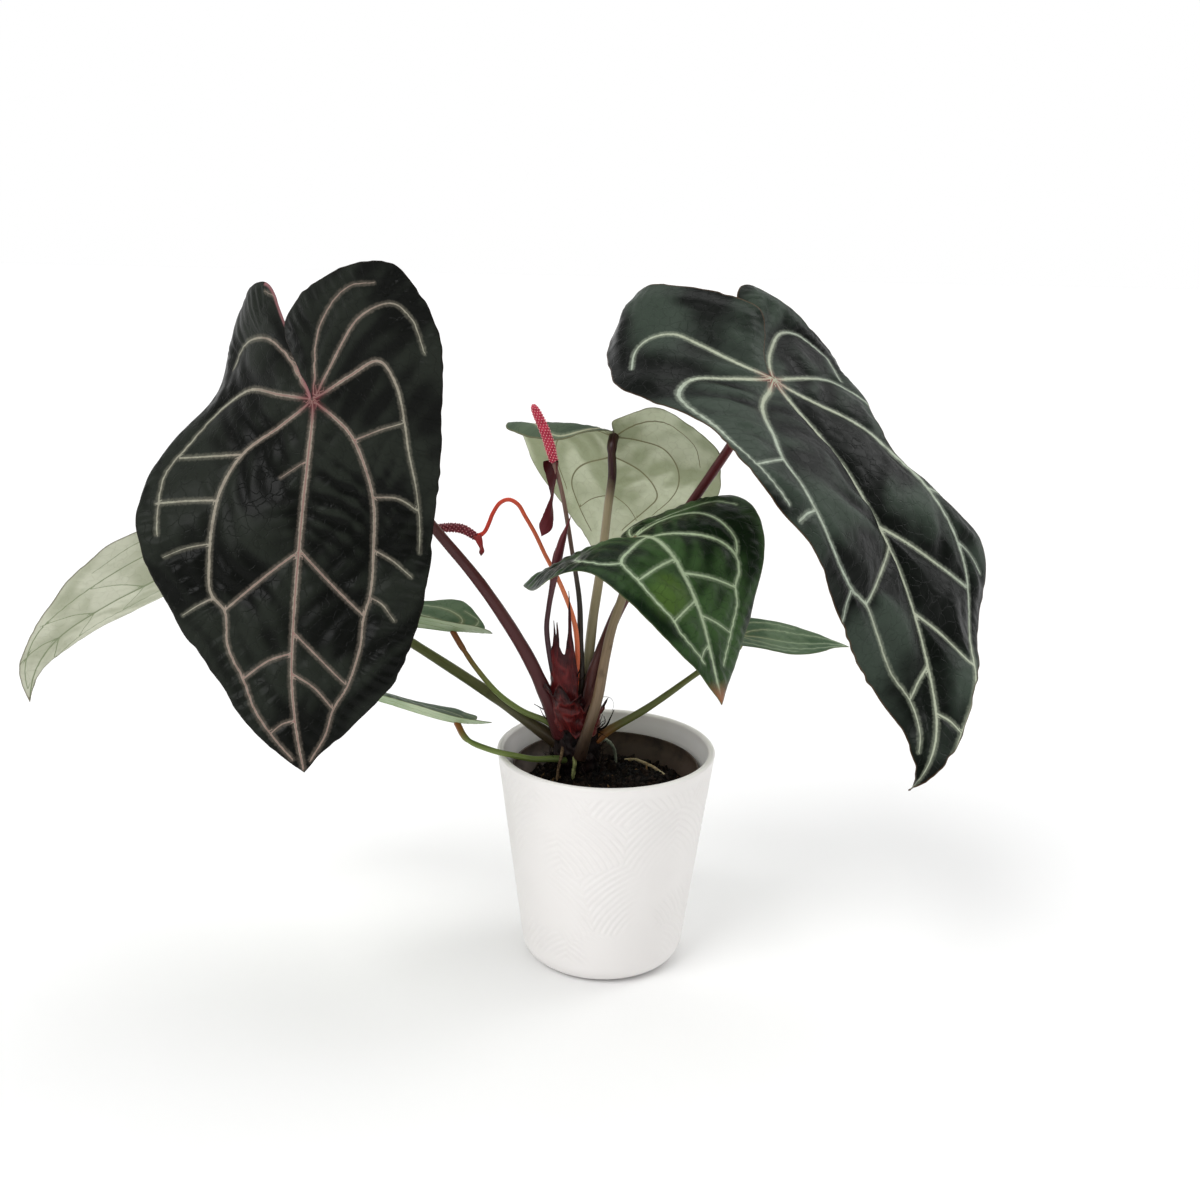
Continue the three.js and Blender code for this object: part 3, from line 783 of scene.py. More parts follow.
@dataclass(frozen=True)
class PlasticFinish:
    """Thin moulded plastic with dust and splashes of mix."""

    name: str
    body: Colour
    dust: Colour
    roughness: float = 0.5

    def material(self) -> bpy.types.Material:
        """Builds the material on the pot's own coordinates.

        Returns:
            The material.
        """
        p = Paint(self.name)
        place = p.own_place()
        stain = p.noise(place, 60.0, 5, 0.6)
        drag = p.noise(p.own_place((1, 1, 0.15)), 300.0, 3, 0.5)
        colour = p.mix(p.ease(stain, 0.45, 0.7, 0.0, 0.7), self.body, self.dust)
        colour = p.mix(p.ease(drag, 0.5, 0.8, 0.0, 0.3), colour, shade(self.body, 0.6))
        rough = p.ease(stain, 0.3, 0.8, self.roughness, self.roughness + 0.3)
        return p.dress(Base_Color=colour, Roughness=rough, Normal=p.bump(drag, 0.05), Specular_IOR_Level=0.4)


@dataclass(frozen=True)
class FleshFinish:
    """Fleshy flower parts: a ground colour with a second one in clouds."""

    name: str
    body: Colour
    cloud: Colour
    roughness: float = 0.4
    grain: float = 300.0

    def material(self) -> bpy.types.Material:
        """Builds the material on the piece's own coordinates.

        Returns:
            The material.
        """
        p = Paint(self.name)
        place = p.own_place()
        cloud = p.noise(place, self.grain, 3, 0.5)
        broad = p.noise(place, self.grain / 6, 2, 0.5)
        colour = p.mix(p.ease(cloud, 0.4, 0.7, 0.0, 0.7), self.body, self.cloud)
        colour = p.mix(p.ease(broad, 0.45, 0.75, 0.0, 0.5), colour, self.cloud)
        rough = p.ease(cloud, 0.3, 0.8, self.roughness, self.roughness + 0.12)
        return p.dress(Base_Color=colour, Roughness=rough, Normal=p.bump(cloud, 0.06), Specular_IOR_Level=0.5)


@dataclass(frozen=True)
class Vein:
    """One vein of a half blade: places along and across the blade, and its half width at both ends."""

    half: Half
    points: Sequence[Flat]
    start: float = 1.0
    end: float = 0.5

    def samples(self) -> tuple[Points, Points]:
        """Fine points along the vein and the half width at each."""
        line = course_points([(s, t, 0) for s, t in self.points], 1.5)[:, :2]
        return line, np.linspace(self.start, self.end, len(line))


@dataclass
class Blade:
    """A leaf blade: a bent midrib that carries two half blades.

    Half widths run from the tip back: at 7/8, 3/4, 1/2 and 1/4 of the length, at the stalk, half way
    along the lobe, at the lobe's end, and the lobe's inner edge half way along. heading (0 towards the
    front, 90 to the right) and pitch (up is positive) follow the midrib at the lobe's end, the stalk,
    1/3, 2/3 and the tip. roll, fold and curl are given at the lobe's end, 1/3 and the tip: fold lifts a
    half blade, and curl is the further turn from midrib to margin. droop bends the lobes down, left and
    right: their fall is droop times the square of the distance behind the stalk. crumpled is the place and
    reach of a crumpled spot.
    """

    join: Place
    length: float
    lobes: tuple[float, float]
    left: Sequence[float]
    right: Sequence[float]
    heading: Sequence[float]
    pitch: Sequence[float]
    roll: Sequence[float]
    fold_left: Sequence[float]
    fold_right: Sequence[float]
    curl_left: Sequence[float]
    curl_right: Sequence[float]
    veins: Sequence[Vein] = ()
    droop: tuple[float, float] = (0, 0)
    midrib: tuple[float, float] = (1.5, 0.5)
    spacing: float = 1.2
    thickness: float = BLADE_THICKNESS
    quilting: float = 0.5
    pillows: float = 0.25
    ripple: float = 0.6
    feather: float = 0.3
    ribs: float = 0.22
    fold_pitch: float = 13
    rib_pitch: float = 7.5
    pleat_pitch: float = 8.5
    pillow_size: float = 10
    vein_shoulder: float = 5
    dome_reach: float = 16
    swell_reach: float = 26
    waver: tuple[float, float] = (0.7, 13)
    crumpled: tuple[float, float, float] | None = None
    seed: int = 1

    def __post_init__(self) -> None:
        """Lays out the midrib."""
        self.back = max(max(self.lobes), 1)
        self.five = [-self.back, 0, self.length / 3, 2 * self.length / 3, self.length]
        self.three = [-self.back, self.length / 3, self.length]
        back_s, back_p = self._march(-self.back, count=24)
        front_s, front_p = self._march(self.length, count=48)
        self.stations = np.concatenate([back_s[::-1], front_s[1:]])
        self.spine = np.vstack([back_p[::-1], front_p[1:]]) + np.array(self.join, float)

    def _march(self, end: float, count: int) -> tuple[Points, Points]:
        """Follows the midrib from the stalk.

        Args:
            end: How far to go, negative into the lobes.
            count: How many steps that takes.

        Returns:
            Distances along the midrib, and the places there as seen from the stalk.
        """
        edges = np.linspace(0, end, count + 1)
        along, _, _ = self.directions((edges[1:] + edges[:-1]) / 2)
        steps = np.cumsum(along * np.diff(edges)[:, None], axis=0)
        return edges, np.vstack([np.zeros(3), steps])

    def directions(self, s: Points) -> tuple[Points, Points, Points]:
        """Directions on the midrib.

        Args:
            s: Distances along the midrib.

        Returns:
            The directions along it, across it to the right, and out of the upper side.
        """
        heading = np.radians(hermite(self.five, self.heading, s))
        pitch = np.radians(hermite(self.five, self.pitch, s))
        roll = np.radians(hermite(self.three, self.roll, s))[..., None]
        level = np.cos(pitch)
        along = np.stack([np.sin(heading) * level, -np.cos(heading) * level, np.sin(pitch)], -1)
        level = np.stack([np.cos(heading), np.sin(heading), 0 * heading], -1)
        up = np.cross(along, level)
        return along, np.cos(roll) * level + np.sin(roll) * up, np.cos(roll) * up - np.sin(roll) * level

    def surface(self, s: Points, t: Points, half: Half) -> tuple[Points, Points]:
        """Places on the blade.

        Args:
            s: Distance along the midrib from the stalk, negative in the lobes.
            t: Distance across the blade, negative to the left.
            half: The half blade that the places belong to.

        Returns:
            Points in space and the upper side's direction at each.
        """
        side = half.value
        width = max(self.left if half is Half.LEFT else self.right)
        fold = self.fold_left if half is Half.LEFT else self.fold_right
        curl = self.curl_left if half is Half.LEFT else self.curl_right
        start = np.radians(hermite(self.three, fold, s))
        turn = np.radians(hermite(self.three, curl, s))
        turn = np.where(np.abs(turn) < 1e-4, 1e-4, turn)
        reach = side * t / width
        out = (width * (np.sin(start + turn * reach) - np.sin(start)) / turn)[:, None]
        rise = (width * (np.cos(start) - np.cos(start + turn * reach)) / turn)[:, None]
        lean = (start + turn * reach)[:, None]
        droop = self.droop[0] if half is Half.LEFT else self.droop[1]
        behind = np.minimum(s, 0)
        bend = np.arctan(-2 * droop * behind)[:, None]
        along, across, up = self.directions(s)
        middle = np.column_stack([np.interp(s, self.stations, self.spine[:, c]) for c in range(3)])
        place = middle + side * out * across + (rise - (droop * behind**2)[:, None]) * up
        tilted = np.cos(bend) * up - np.sin(bend) * along
        face = np.cos(lean) * tilted - side * np.sin(lean) * across
        on_midrib = np.abs(t)[:, None] < 1e-6
        return place, np.where(on_midrib, up, face)

    def margin(self, half: Half) -> Points:
        """The outline of one half blade.

        Args:
            half: The half blade.

        Returns:
            Points as (s, t), from the tip round to the stalk.
        """
        widths = self.left if half is Half.LEFT else self.right
        lobe = self.lobes[0] if half is Half.LEFT else self.lobes[1]
        length = self.length
        s = [length, length * 7 / 8, length * 3 / 4, length / 2, length / 4, 0, -lobe / 2, -lobe, -lobe / 2,
             0]
        t = [0, *widths, 0]
        if lobe == 0:
            s, t = s[:6], [*t[:6]]
        s, t = np.array(s, float), np.array(t, float)
        knots = np.concatenate([[0], np.cumsum(np.sqrt(np.hypot(np.diff(s), np.diff(t))))])
        fine = np.linspace(0, knots[-1], num=1200)
        line = np.column_stack([hermite(knots, s, fine), half.value * hermite(knots, t, fine)])
        if lobe == 0:
            line = np.vstack([line, [[0, 0]]])
        return self.wavy(even_steps(line, self.spacing), half)

    def wavy(self, edge: Points, half: Half) -> Points:
        """Lets a margin waver a little, except close to the tip and the stalk.

        Args:
            edge: The smooth margin.
            half: Its half blade.

        Returns:
            The wavering margin.
        """
        size, reach = self.waver
        length = running_length(edge)
        ahead = np.gradient(edge, axis=0)
        ahead /= np.maximum(np.linalg.norm(ahead, axis=1), 1e-9)[:, None]
        out = np.column_stack([-ahead[:, 1], ahead[:, 0]])
        inputs = np.column_stack([length, np.full(len(length), 37.0 * half.value)])
        shift = lattice_noise(inputs, reach, self.seed + 20)
        shift = shift + 0.5 * lattice_noise(inputs, reach / 3, self.seed + 21)
        shift *= size * smooth_step(2, 14, length) * smooth_step(2, 14, length[-1] - length)
        return edge + out * shift[:, None]

    def half_mesh(self, half: Half) -> tuple[Points, Points, Points]:
        """Triangulates one half blade in its own (s, t) plane.

        Args:
            half: The half blade.

        Returns:
            Vertices as (s, t), triangles, and for each vertex its distance from the margin, the place along
            the margin that it is nearest to, and whether that lies in the notch between the lobes.
        """
        edge = self.margin(half)
        count = max(int(self.length / self.spacing), 8)
        rib = np.column_stack([np.linspace(0, self.length, count + 1), np.zeros(count + 1)])
        ring = np.vstack([edge[:-1], rib[:-1]])
        low, high = ring.min(0), ring.max(0)
        row_step, edge_room = self.spacing * 0.866, self.spacing * 0.55
        grid = []
        for k, y in enumerate(np.arange(low[1], high[1], row_step)):
            x = np.arange(low[0] + (k % 2) * self.spacing / 2, high[0], self.spacing)
            grid.append(np.column_stack([x, np.full(len(x), y)]))
        grid = np.vstack(grid)
        grid = grid[inside_polygon(grid, ring)]
        grid = grid[distance_to_line(grid, np.vstack([ring, ring[:1]]))[0] > edge_room]
        points = np.vstack([ring, grid])
        loop = [(k, (k + 1) % len(ring)) for k in range(len(ring))]
        result = delaunay_2d_cdt([Vector(p) for p in points], loop, [], 1, 1e-5)
        flat = np.array([tuple(v) for v in result[0]])
        triangles = np.array(result[2])
        a, b, c = flat[triangles[:, 0]], flat[triangles[:, 1]], flat[triangles[:, 2]]
        turn = (b[:, 0] - a[:, 0]) * (c[:, 1] - a[:, 1]) - (b[:, 1] - a[:, 1]) * (c[:, 0] - a[:, 0])
        triangles[turn > 0] = triangles[turn > 0][:, ::-1]
        rim, at, _ = distance_to_line(flat, edge)
        notch = (at > edge[:, 0].argmin()) & (flat[:, 0] < 0)
        return flat, triangles, np.column_stack([rim, at * self.spacing, notch])

    def vein_measures(self, flat: Points, half: Half) -> tuple[Points, Points, Points]:
        """How each vertex lies to its nearest vein.

        Args:
            flat: Vertices as (s, t).
            half: Their half blade.

        Returns:
            The signed distance in vein half widths, the plain distance, and the vein's half width there.
        """
        rib = Vein(half, ((0, 0), (self.length * 0.5, 0), (self.length * 0.99, 0)), *self.midrib)
        best, gap = np.full(len(flat), FAR), np.full(len(flat), FAR)
        line, width = np.zeros(len(flat)), np.ones(len(flat))
        for vein in [rib, *[v for v in self.veins if v.half is half]]:
            samples, widths = vein.samples()
            distance, at, sign = distance_to_line(flat, samples)
            local = np.interp(at, np.arange(len(widths)), widths)
            closer = distance - local < best
            best = np.where(closer, distance - local, best)
            line = np.where(closer, sign * distance / local, line)
            gap = np.where(closer, distance, gap)
            width = np.where(closer, local, width)
        return line, gap, width

    def build(self, name: str) -> bpy.types.Object:
        """Makes the blade as one closed mesh with its leaf measures as attributes.

        Args:
            name: The object's name.

        Returns:
            The new object.
        """
        columns, triangles, start = [], [], 0
        for half in Half:
            flat, tris, rim = self.half_mesh(half)
            place, normal = self.surface(flat[:, 0], flat[:, 1], half)
            side = np.full(len(flat), half.value)
            columns.append(np.column_stack([flat, place, normal, *self.vein_measures(flat, half), rim, side]))
            triangles.append(tris + start)
            start += len(flat)
        table = np.vstack(columns)
        keep = join_halves(table[:, :2], table[:, -1])
        used, tris = np.unique(keep[np.vstack(triangles)], return_inverse=True)
        tris = tris.reshape(-1, 3)
        flat, place, normal = table[used, :2], table[used, 2:5], table[used, 5:8]
        line, gap, width, rim, round_rim, notch, side = table[used, 8:].T
        relief, fold_lighting = self.relief(flat, gap, rim, round_rim)
        ridge = np.exp(-((gap / width) ** 2)) * width
        half_thick = self.thickness * 0.5 * (0.35 + 0.65 * smooth_step(0.0, 2.0, rim))
        has_lobes = max(self.lobes) > 0
        knob = 1.1 * np.exp(-((np.hypot(flat[:, 0], flat[:, 1]) / 3.0) ** 2)) if has_lobes else 0.0
        top = place + normal * (half_thick + relief + 0.25 * ridge + knob)[:, None]
        bottom = place - normal * (half_thick - relief + 0.55 * ridge)[:, None]
        count = len(place)
        faces = [tuple(f) for f in tris]
        faces += [tuple(f[::-1] + count) for f in tris]
        faces += [(b, a, a + count, b + count) for a, b in open_edges(tris)]
        # The fold measure goes to the material as painted highlight on crests and painted shade in hollows.
        measures = {"vein_line": np.clip(line, -50, 50), "vein_gap": gap - width, "margin": rim,
                    "toward_tip": flat[:, 0] / self.length, "fold_lighting": fold_lighting, "sinus": notch * (side < 0)}
        attributes = {key: np.tile(values, 2) for key, values in measures.items()}
        attributes["under"] = np.repeat([0.0, 1.0], count)
        attributes["leaf_place"] = np.vstack([
            np.column_stack([flat, np.full(count, z)]) for z in (0.0, 40.0)])
        return make_object(name, np.vstack([top, bottom]), outward(faces, top, normal, tris), attributes)

    def relief(self, flat: Points, gap: Points, rim: Points, round_rim: Points) -> tuple[Points, Points]:
        """How far the blade stands above its smooth surface.

        It is quilted and pillowed between its veins, folded across, and ribbed towards its margin.

        Args:
            flat: Vertices as (s, t).
            gap: Distance of each from its nearest vein.
            rim: Distance of each from the margin.
            round_rim: The place along the margin that each is nearest to.

        Returns:
            The height of each vertex, in millimetres, and how far it lies up a fold, from 0 to 1, which
            the material paints as highlight on crests and as shade in hollows.
        """
        s, t = flat.T
        hills = 1 - np.exp(-((gap / self.vein_shoulder) ** 2))
        sway = lattice_noise(flat, 30.0, self.seed + 1)
        some = 0.55 + 0.45 * lattice_noise(flat, 38.0, self.seed + 2)
        domes = 0.45 * hills + 1.1 * (1 - np.exp(-((gap / self.dome_reach) ** 1.6)))
        height = self.quilting * domes * smooth_step(0.0, 12.0, rim)
        pillows = self.pillows * np.ones(len(flat))
        pleated = np.zeros(len(flat))
        if self.crumpled is not None:
            middle_s, middle_t, reach = self.crumpled
            spot = np.exp(-((np.hypot(s - middle_s, t - middle_t) / reach) ** 2))
            pillows *= 0.3 + 0.9 * spot
            pleats = np.cos(FULL_TURN * ((np.abs(t) * 0.55 - s * 0.83) / self.pleat_pitch + 0.7 * sway))
            pleated = spot * pleats * hills
            height += 0.5 * pleated
        height += pillows * cell_bulge(flat, self.pillow_size, self.seed) * hills * smooth_step(0.0, 6.0, rim)
        folds = np.cos(FULL_TURN * ((s * 0.62 + np.abs(t) * 0.78) / self.fold_pitch + 0.5 * sway))
        height += self.feather * folds * some * hills * smooth_step(6.0, 20.0, rim)
        band = smooth_step(0.5, 4.0, rim) * (1 - smooth_step(14.0, 30.0, rim))
        height += self.ribs * np.cos(FULL_TURN * (round_rim / self.rib_pitch + 0.4 * sway)) * some * band
        broad = lattice_noise(flat, self.swell_reach, self.seed + 3)
        swell = broad * (0.5 + np.exp(-((rim / 9.0) ** 2)))
        # Painted light: the colour is lighter up folds, pleats and broad swells and darker in their hollows.
        fold_lighting = 0.5 + 0.28 * folds * some * hills + 0.5 * broad + 0.45 * pleated
        return height + self.ripple * swell, np.clip(fold_lighting, 0, 1)


def outward(faces: list[tuple], top: Points, normal: Points, triangles: Points) -> list[tuple]:
    """Turns every face round if the upper side's faces don't point out of it.

    Args:
        faces: All faces.
        top: Vertices of the upper side.
        normal: The direction out of the upper side at each.
        triangles: The upper side's faces.

    Returns:
        The faces, all turned round or none.
    """
    a, b, c = top[triangles[:, 0]], top[triangles[:, 1]], top[triangles[:, 2]]
    agree = (np.cross(b - a, c - a) * normal[triangles[:, 0]]).sum(1)
    return faces if np.median(np.sign(agree)) > 0 else [f[::-1] for f in faces]


def inside_polygon(points: Points, ring: Points) -> Points:
    """Tells which points lie inside a closed ring, in the plane.

    Args:
        points: The points.
        ring: The ring's corners in order.

    Returns:
        True or False for each point.
    """
    inside = np.zeros(len(points), bool)
    x, y = points[:, 0], points[:, 1]
    for a, b in zip(ring, np.roll(ring, -1, axis=0)):
        if a[1] == b[1]:
            continue
        crosses = (a[1] > y) != (b[1] > y)
        inside ^= crosses & (x < (b[0] - a[0]) * (y - a[1]) / (b[1] - a[1]) + a[0])
    return inside


def distance_to_line(points: Points, line: Points) -> tuple[Points, Points, Points]:
    """How points lie to a line of short segments, in the plane.

    Args:
        points: The points.
        line: The segments' ends in order.

    Returns:
        The distance, the place along the line counted in segments, and the side as -1 or 1.
    """
    start, step = line[:-1], np.diff(line, axis=0)
    square = np.maximum((step**2).sum(1), 1e-12)
    distance, at, sign = (np.empty(len(points)) for _ in range(3))
    block_size = 4000
    for low in range(0, len(points), block_size):
        part = slice(low, low + block_size)
        to = points[part, None] - start[None]
        u = np.clip((to * step[None]).sum(2) / square, 0, 1)
        apart = to - u[..., None] * step[None]
        lengths = np.hypot(apart[..., 0], apart[..., 1])
        nearest = lengths.argmin(1)
        rows = np.arange(len(nearest))
        distance[part] = lengths[rows, nearest]
        at[part] = nearest + u[rows, nearest]
        s, d = step[nearest], to[rows, nearest]
        sign[part] = np.where(s[:, 0] * d[:, 1] - s[:, 1] * d[:, 0] >= 0, 1.0, -1.0)
    return distance, at, sign


def join_halves(flat: Points, side: Points) -> Points:
    """Maps the right half's vertices on the midrib to their twins in the left half.

    Args:
        flat: Vertices of both halves as (s, t).
        side: -1 for a vertex of the left half and 1 for the right.

    Returns:
        The number of the vertex to use in place of each.
    """
    keep = np.arange(len(flat))
    on_rib = np.where(np.abs(flat[:, 1]) < 1e-4)[0]
    on_rib = on_rib[flat[on_rib, 0] > -1e-4]
    left = {round(float(flat[k, 0]), 3): k for k in on_rib if side[k] < 0}
    for k in on_rib:
        if side[k] > 0:
            keep[k] = left.get(round(float(flat[k, 0]), 3), k)
    return keep


def open_edges(faces: Points) -> list[tuple[int, int]]:
    """The edges of a sheet that only one face has.

    Args:
        faces: Triangles or quads.

    Returns:
        Each edge in its face's direction.
    """
    corners = faces.shape[1]
    edges = np.vstack([faces[:, [k, (k + 1) % corners]] for k in range(corners)])
    known = {(int(a), int(b)) for a, b in edges}
    return [(a, b) for a, b in known if (b, a) not in known]


def sweep(name: str, line: Points, radius: Callable[[Points, Points], Points], sides: int = 24
          ) -> bpy.types.Object:
    """Makes a closed round body along a line.

    Args:
        name: The object's name.
        line: Points along the middle.
        radius: Radius from the fraction along the line and the turn round it.
        sides: How many steps there are round the line.

    Returns:
        The new object, with attributes along and stalk_place.
    """
    _, across, other = travelling_frames(line)
    f, a = np.meshgrid(np.linspace(0, 1, len(line)), ring_turns(sides), indexing="ij")
    r = radius(f, a)
    rings = line[:, None] + r[..., None] * (
        np.cos(a)[..., None] * across[:, None] + np.sin(a)[..., None] * other[:, None])
    points = np.vstack([rings.reshape(-1, 3), line[:1], line[-1:]])
    length = np.linalg.norm(np.diff(line, axis=0), axis=1).sum()
    along, size, turn = (np.append(grid, ends) for grid, ends in ((f, (0, 1)), (r, (0, 0)), (a, (0, 0))))
    streak_scale, length_scale = 1.6, 0.05
    place = np.column_stack([size * np.cos(turn) * streak_scale, size * np.sin(turn) * streak_scale,
                             along * length * length_scale])
    faces = shell_faces(len(line), sides, flip=True)
    if not sweep_turns_out(points, faces, line):
        faces = [face[::-1] for face in faces]
    return make_object(name, points, faces, {"along": along, "stalk_place": place})


def sweep_turns_out(points: Points, faces: list[tuple], line: Points) -> bool:
    """Tells whether the faces of a swept body point away from its line, by one of its quads.

    Args:
        points: The body's vertices.
        faces: Its faces.
        line: The line that it was swept along.

    Returns:
        Whether they do.
    """
    corner = points[list(faces[len(line) // 2])]
    normal = np.cross(corner[1] - corner[0], corner[2] - corner[0])
    middle = corner.mean(0)
    nearest = line[np.linalg.norm(line - middle, axis=1).argmin()]
    return float(np.dot(normal, middle - nearest)) > 0


@dataclass
class Stalk:
    """A leaf or flower stalk, thick at the foot, with a swollen joint at the top of a leaf stalk."""

    course: Sequence[Place]
    radii: Flat
    finish: StalkFinish
    slot: str
    joint: float = 14.0
    ridges: int = 7
    flare: float = 0.2
    flare_reach: float = 0.17
    spacing: float = 1.3

    def __post_init__(self) -> None:
        """Lays out the middle line."""
        self.line = course_points(self.course, self.spacing)
        self.length = np.linalg.norm(np.diff(self.line, axis=0), axis=1).sum()

    def radius(self, f: Points, a: Points) -> Points:
        """The stalk's radius.

        Args:
            f: Fraction of the length, from the foot.
            a: Turn round the middle line.

        Returns:
            The radius at each.
        """
        base, top = self.radii
        joint = self.joint / self.length
        plain = base + (top - base) * np.minimum(1, f * 1.6)
        foot = 1 + self.flare * np.maximum(0, 1 - f / self.flare_reach) ** 1.3
        swell = 1 + 0.16 * smooth_step(1 - joint * 1.15, 1 - joint * 0.8, f)
        neck = 1 - 0.10 * np.exp(-(((f - 1 + joint * 1.15) / (joint * 0.15)) ** 2))
        rib = 1 + 0.018 * np.cos(self.ridges * a) + 0.012 * np.cos(3 * a + 20 * f)
        places = np.column_stack([f.ravel() * self.length, 3 * np.cos(a).ravel()])
        wobble = 1 + 0.03 * lattice_noise(places, 9.0, seed=5).reshape(f.shape)
        return plain * foot * swell * neck * rib * wobble

    def build(self, name: str, node: str) -> None:
        """Makes the stalk and lets it stand for its node."""
        piece = sweep(name, self.line, self.radius)
        finish_piece(piece, self.finish.material(), [node])


@dataclass
class Leaf:
    """A blade on its stalk."""

    name: str
    blade: Blade
    finish: LeafFinish
    blade_slot: str
    stalk_knots: Sequence[Place]
    radii: tuple[float, float]
    stalk_finish: StalkFinish
    stalk_slot: str
    bends: bool = True
    flare: float = 0.2

    def build(self) -> None:
        """Makes the blade and the stalk, which may bend to meet the blade squarely from below."""
        blade = self.blade.build(f"leaf_{self.name}")
        finish_piece(blade, self.finish.material(), [f"blade_{self.name}"])
        point, face = self.blade.surface(np.zeros(1), np.zeros(1), Half.RIGHT)
        bend = point[0] - face[0] * self.radii[1] * 4
        seat = point[0] - face[0] * 0.2
        end = [tuple(bend), tuple(seat)] if self.bends else [tuple(seat)]
        stalk = Stalk([*self.stalk_knots, *end], self.radii, self.stalk_finish, self.stalk_slot,
                      flare=self.flare)
        stalk.build(f"leaf_stalk_{self.name}", f"stalk_{self.name}")


def veins_of(half: Half, rows: Sequence[Sequence]) -> list[Vein]:
    """Veins of one half, each given as its half widths at the start and the end, and its places."""
    return [Vein(half, places, start, end) for start, end, *places in rows]


def mirrored(veins: Sequence[Vein]) -> list[Vein]:
    """The veins and their mirror images in the other half."""
    twins = [Vein(Half(-v.half.value), tuple((s, -t) for s, t in v.points), v.start, v.end) for v in veins]
    return [*veins, *twins]


def plain_veins(length: float, width: float, lobe: float, weight: float = 0.6, side_veins: bool = True
                ) -> list[Vein]:
    """Veins for a small or hidden blade: an inner and an outer arch, one into the lobe, and side veins.

    Args:
        length: The blade's length from the stalk to the tip.
        width: Its half width.
        lobe: How far its lobes reach back.
        weight: Half width of the arches where they start.
        side_veins: Whether veins run from the midrib to the inner arches.

    Returns:
        Veins for both halves.
    """
    arches = [
        (weight, 0.3, (0, 0), (0.1, 0.28), (0.32, 0.47), (0.6, 0.4), (0.85, 0.17), (0.95, 0.04)),
        (weight, 0.25, (0, 0), (-0.3, 0.35), (0.03, 0.66), (0.3, 0.76), (0.5, 0.66)),
        (weight, 0.3, (0, 0), (-0.6, 0.16), (-0.8, 0.42), (-0.4, 0.66)),
    ]
    if side_veins:
        for start, reach in ((0.22, 0.46), (0.42, 0.42), (0.6, 0.32), (0.74, 0.22)):
            arches.append((weight * 0.6, 0.3, (start, 0), (start + 0.05, reach * 0.5), (start + 0.13, reach)))
    rows = [(first, last, *[(s * (lobe if s < 0 else length), t * width) for s, t in places])
            for first, last, *places in arches]
    return mirrored(veins_of(Half.RIGHT, rows))


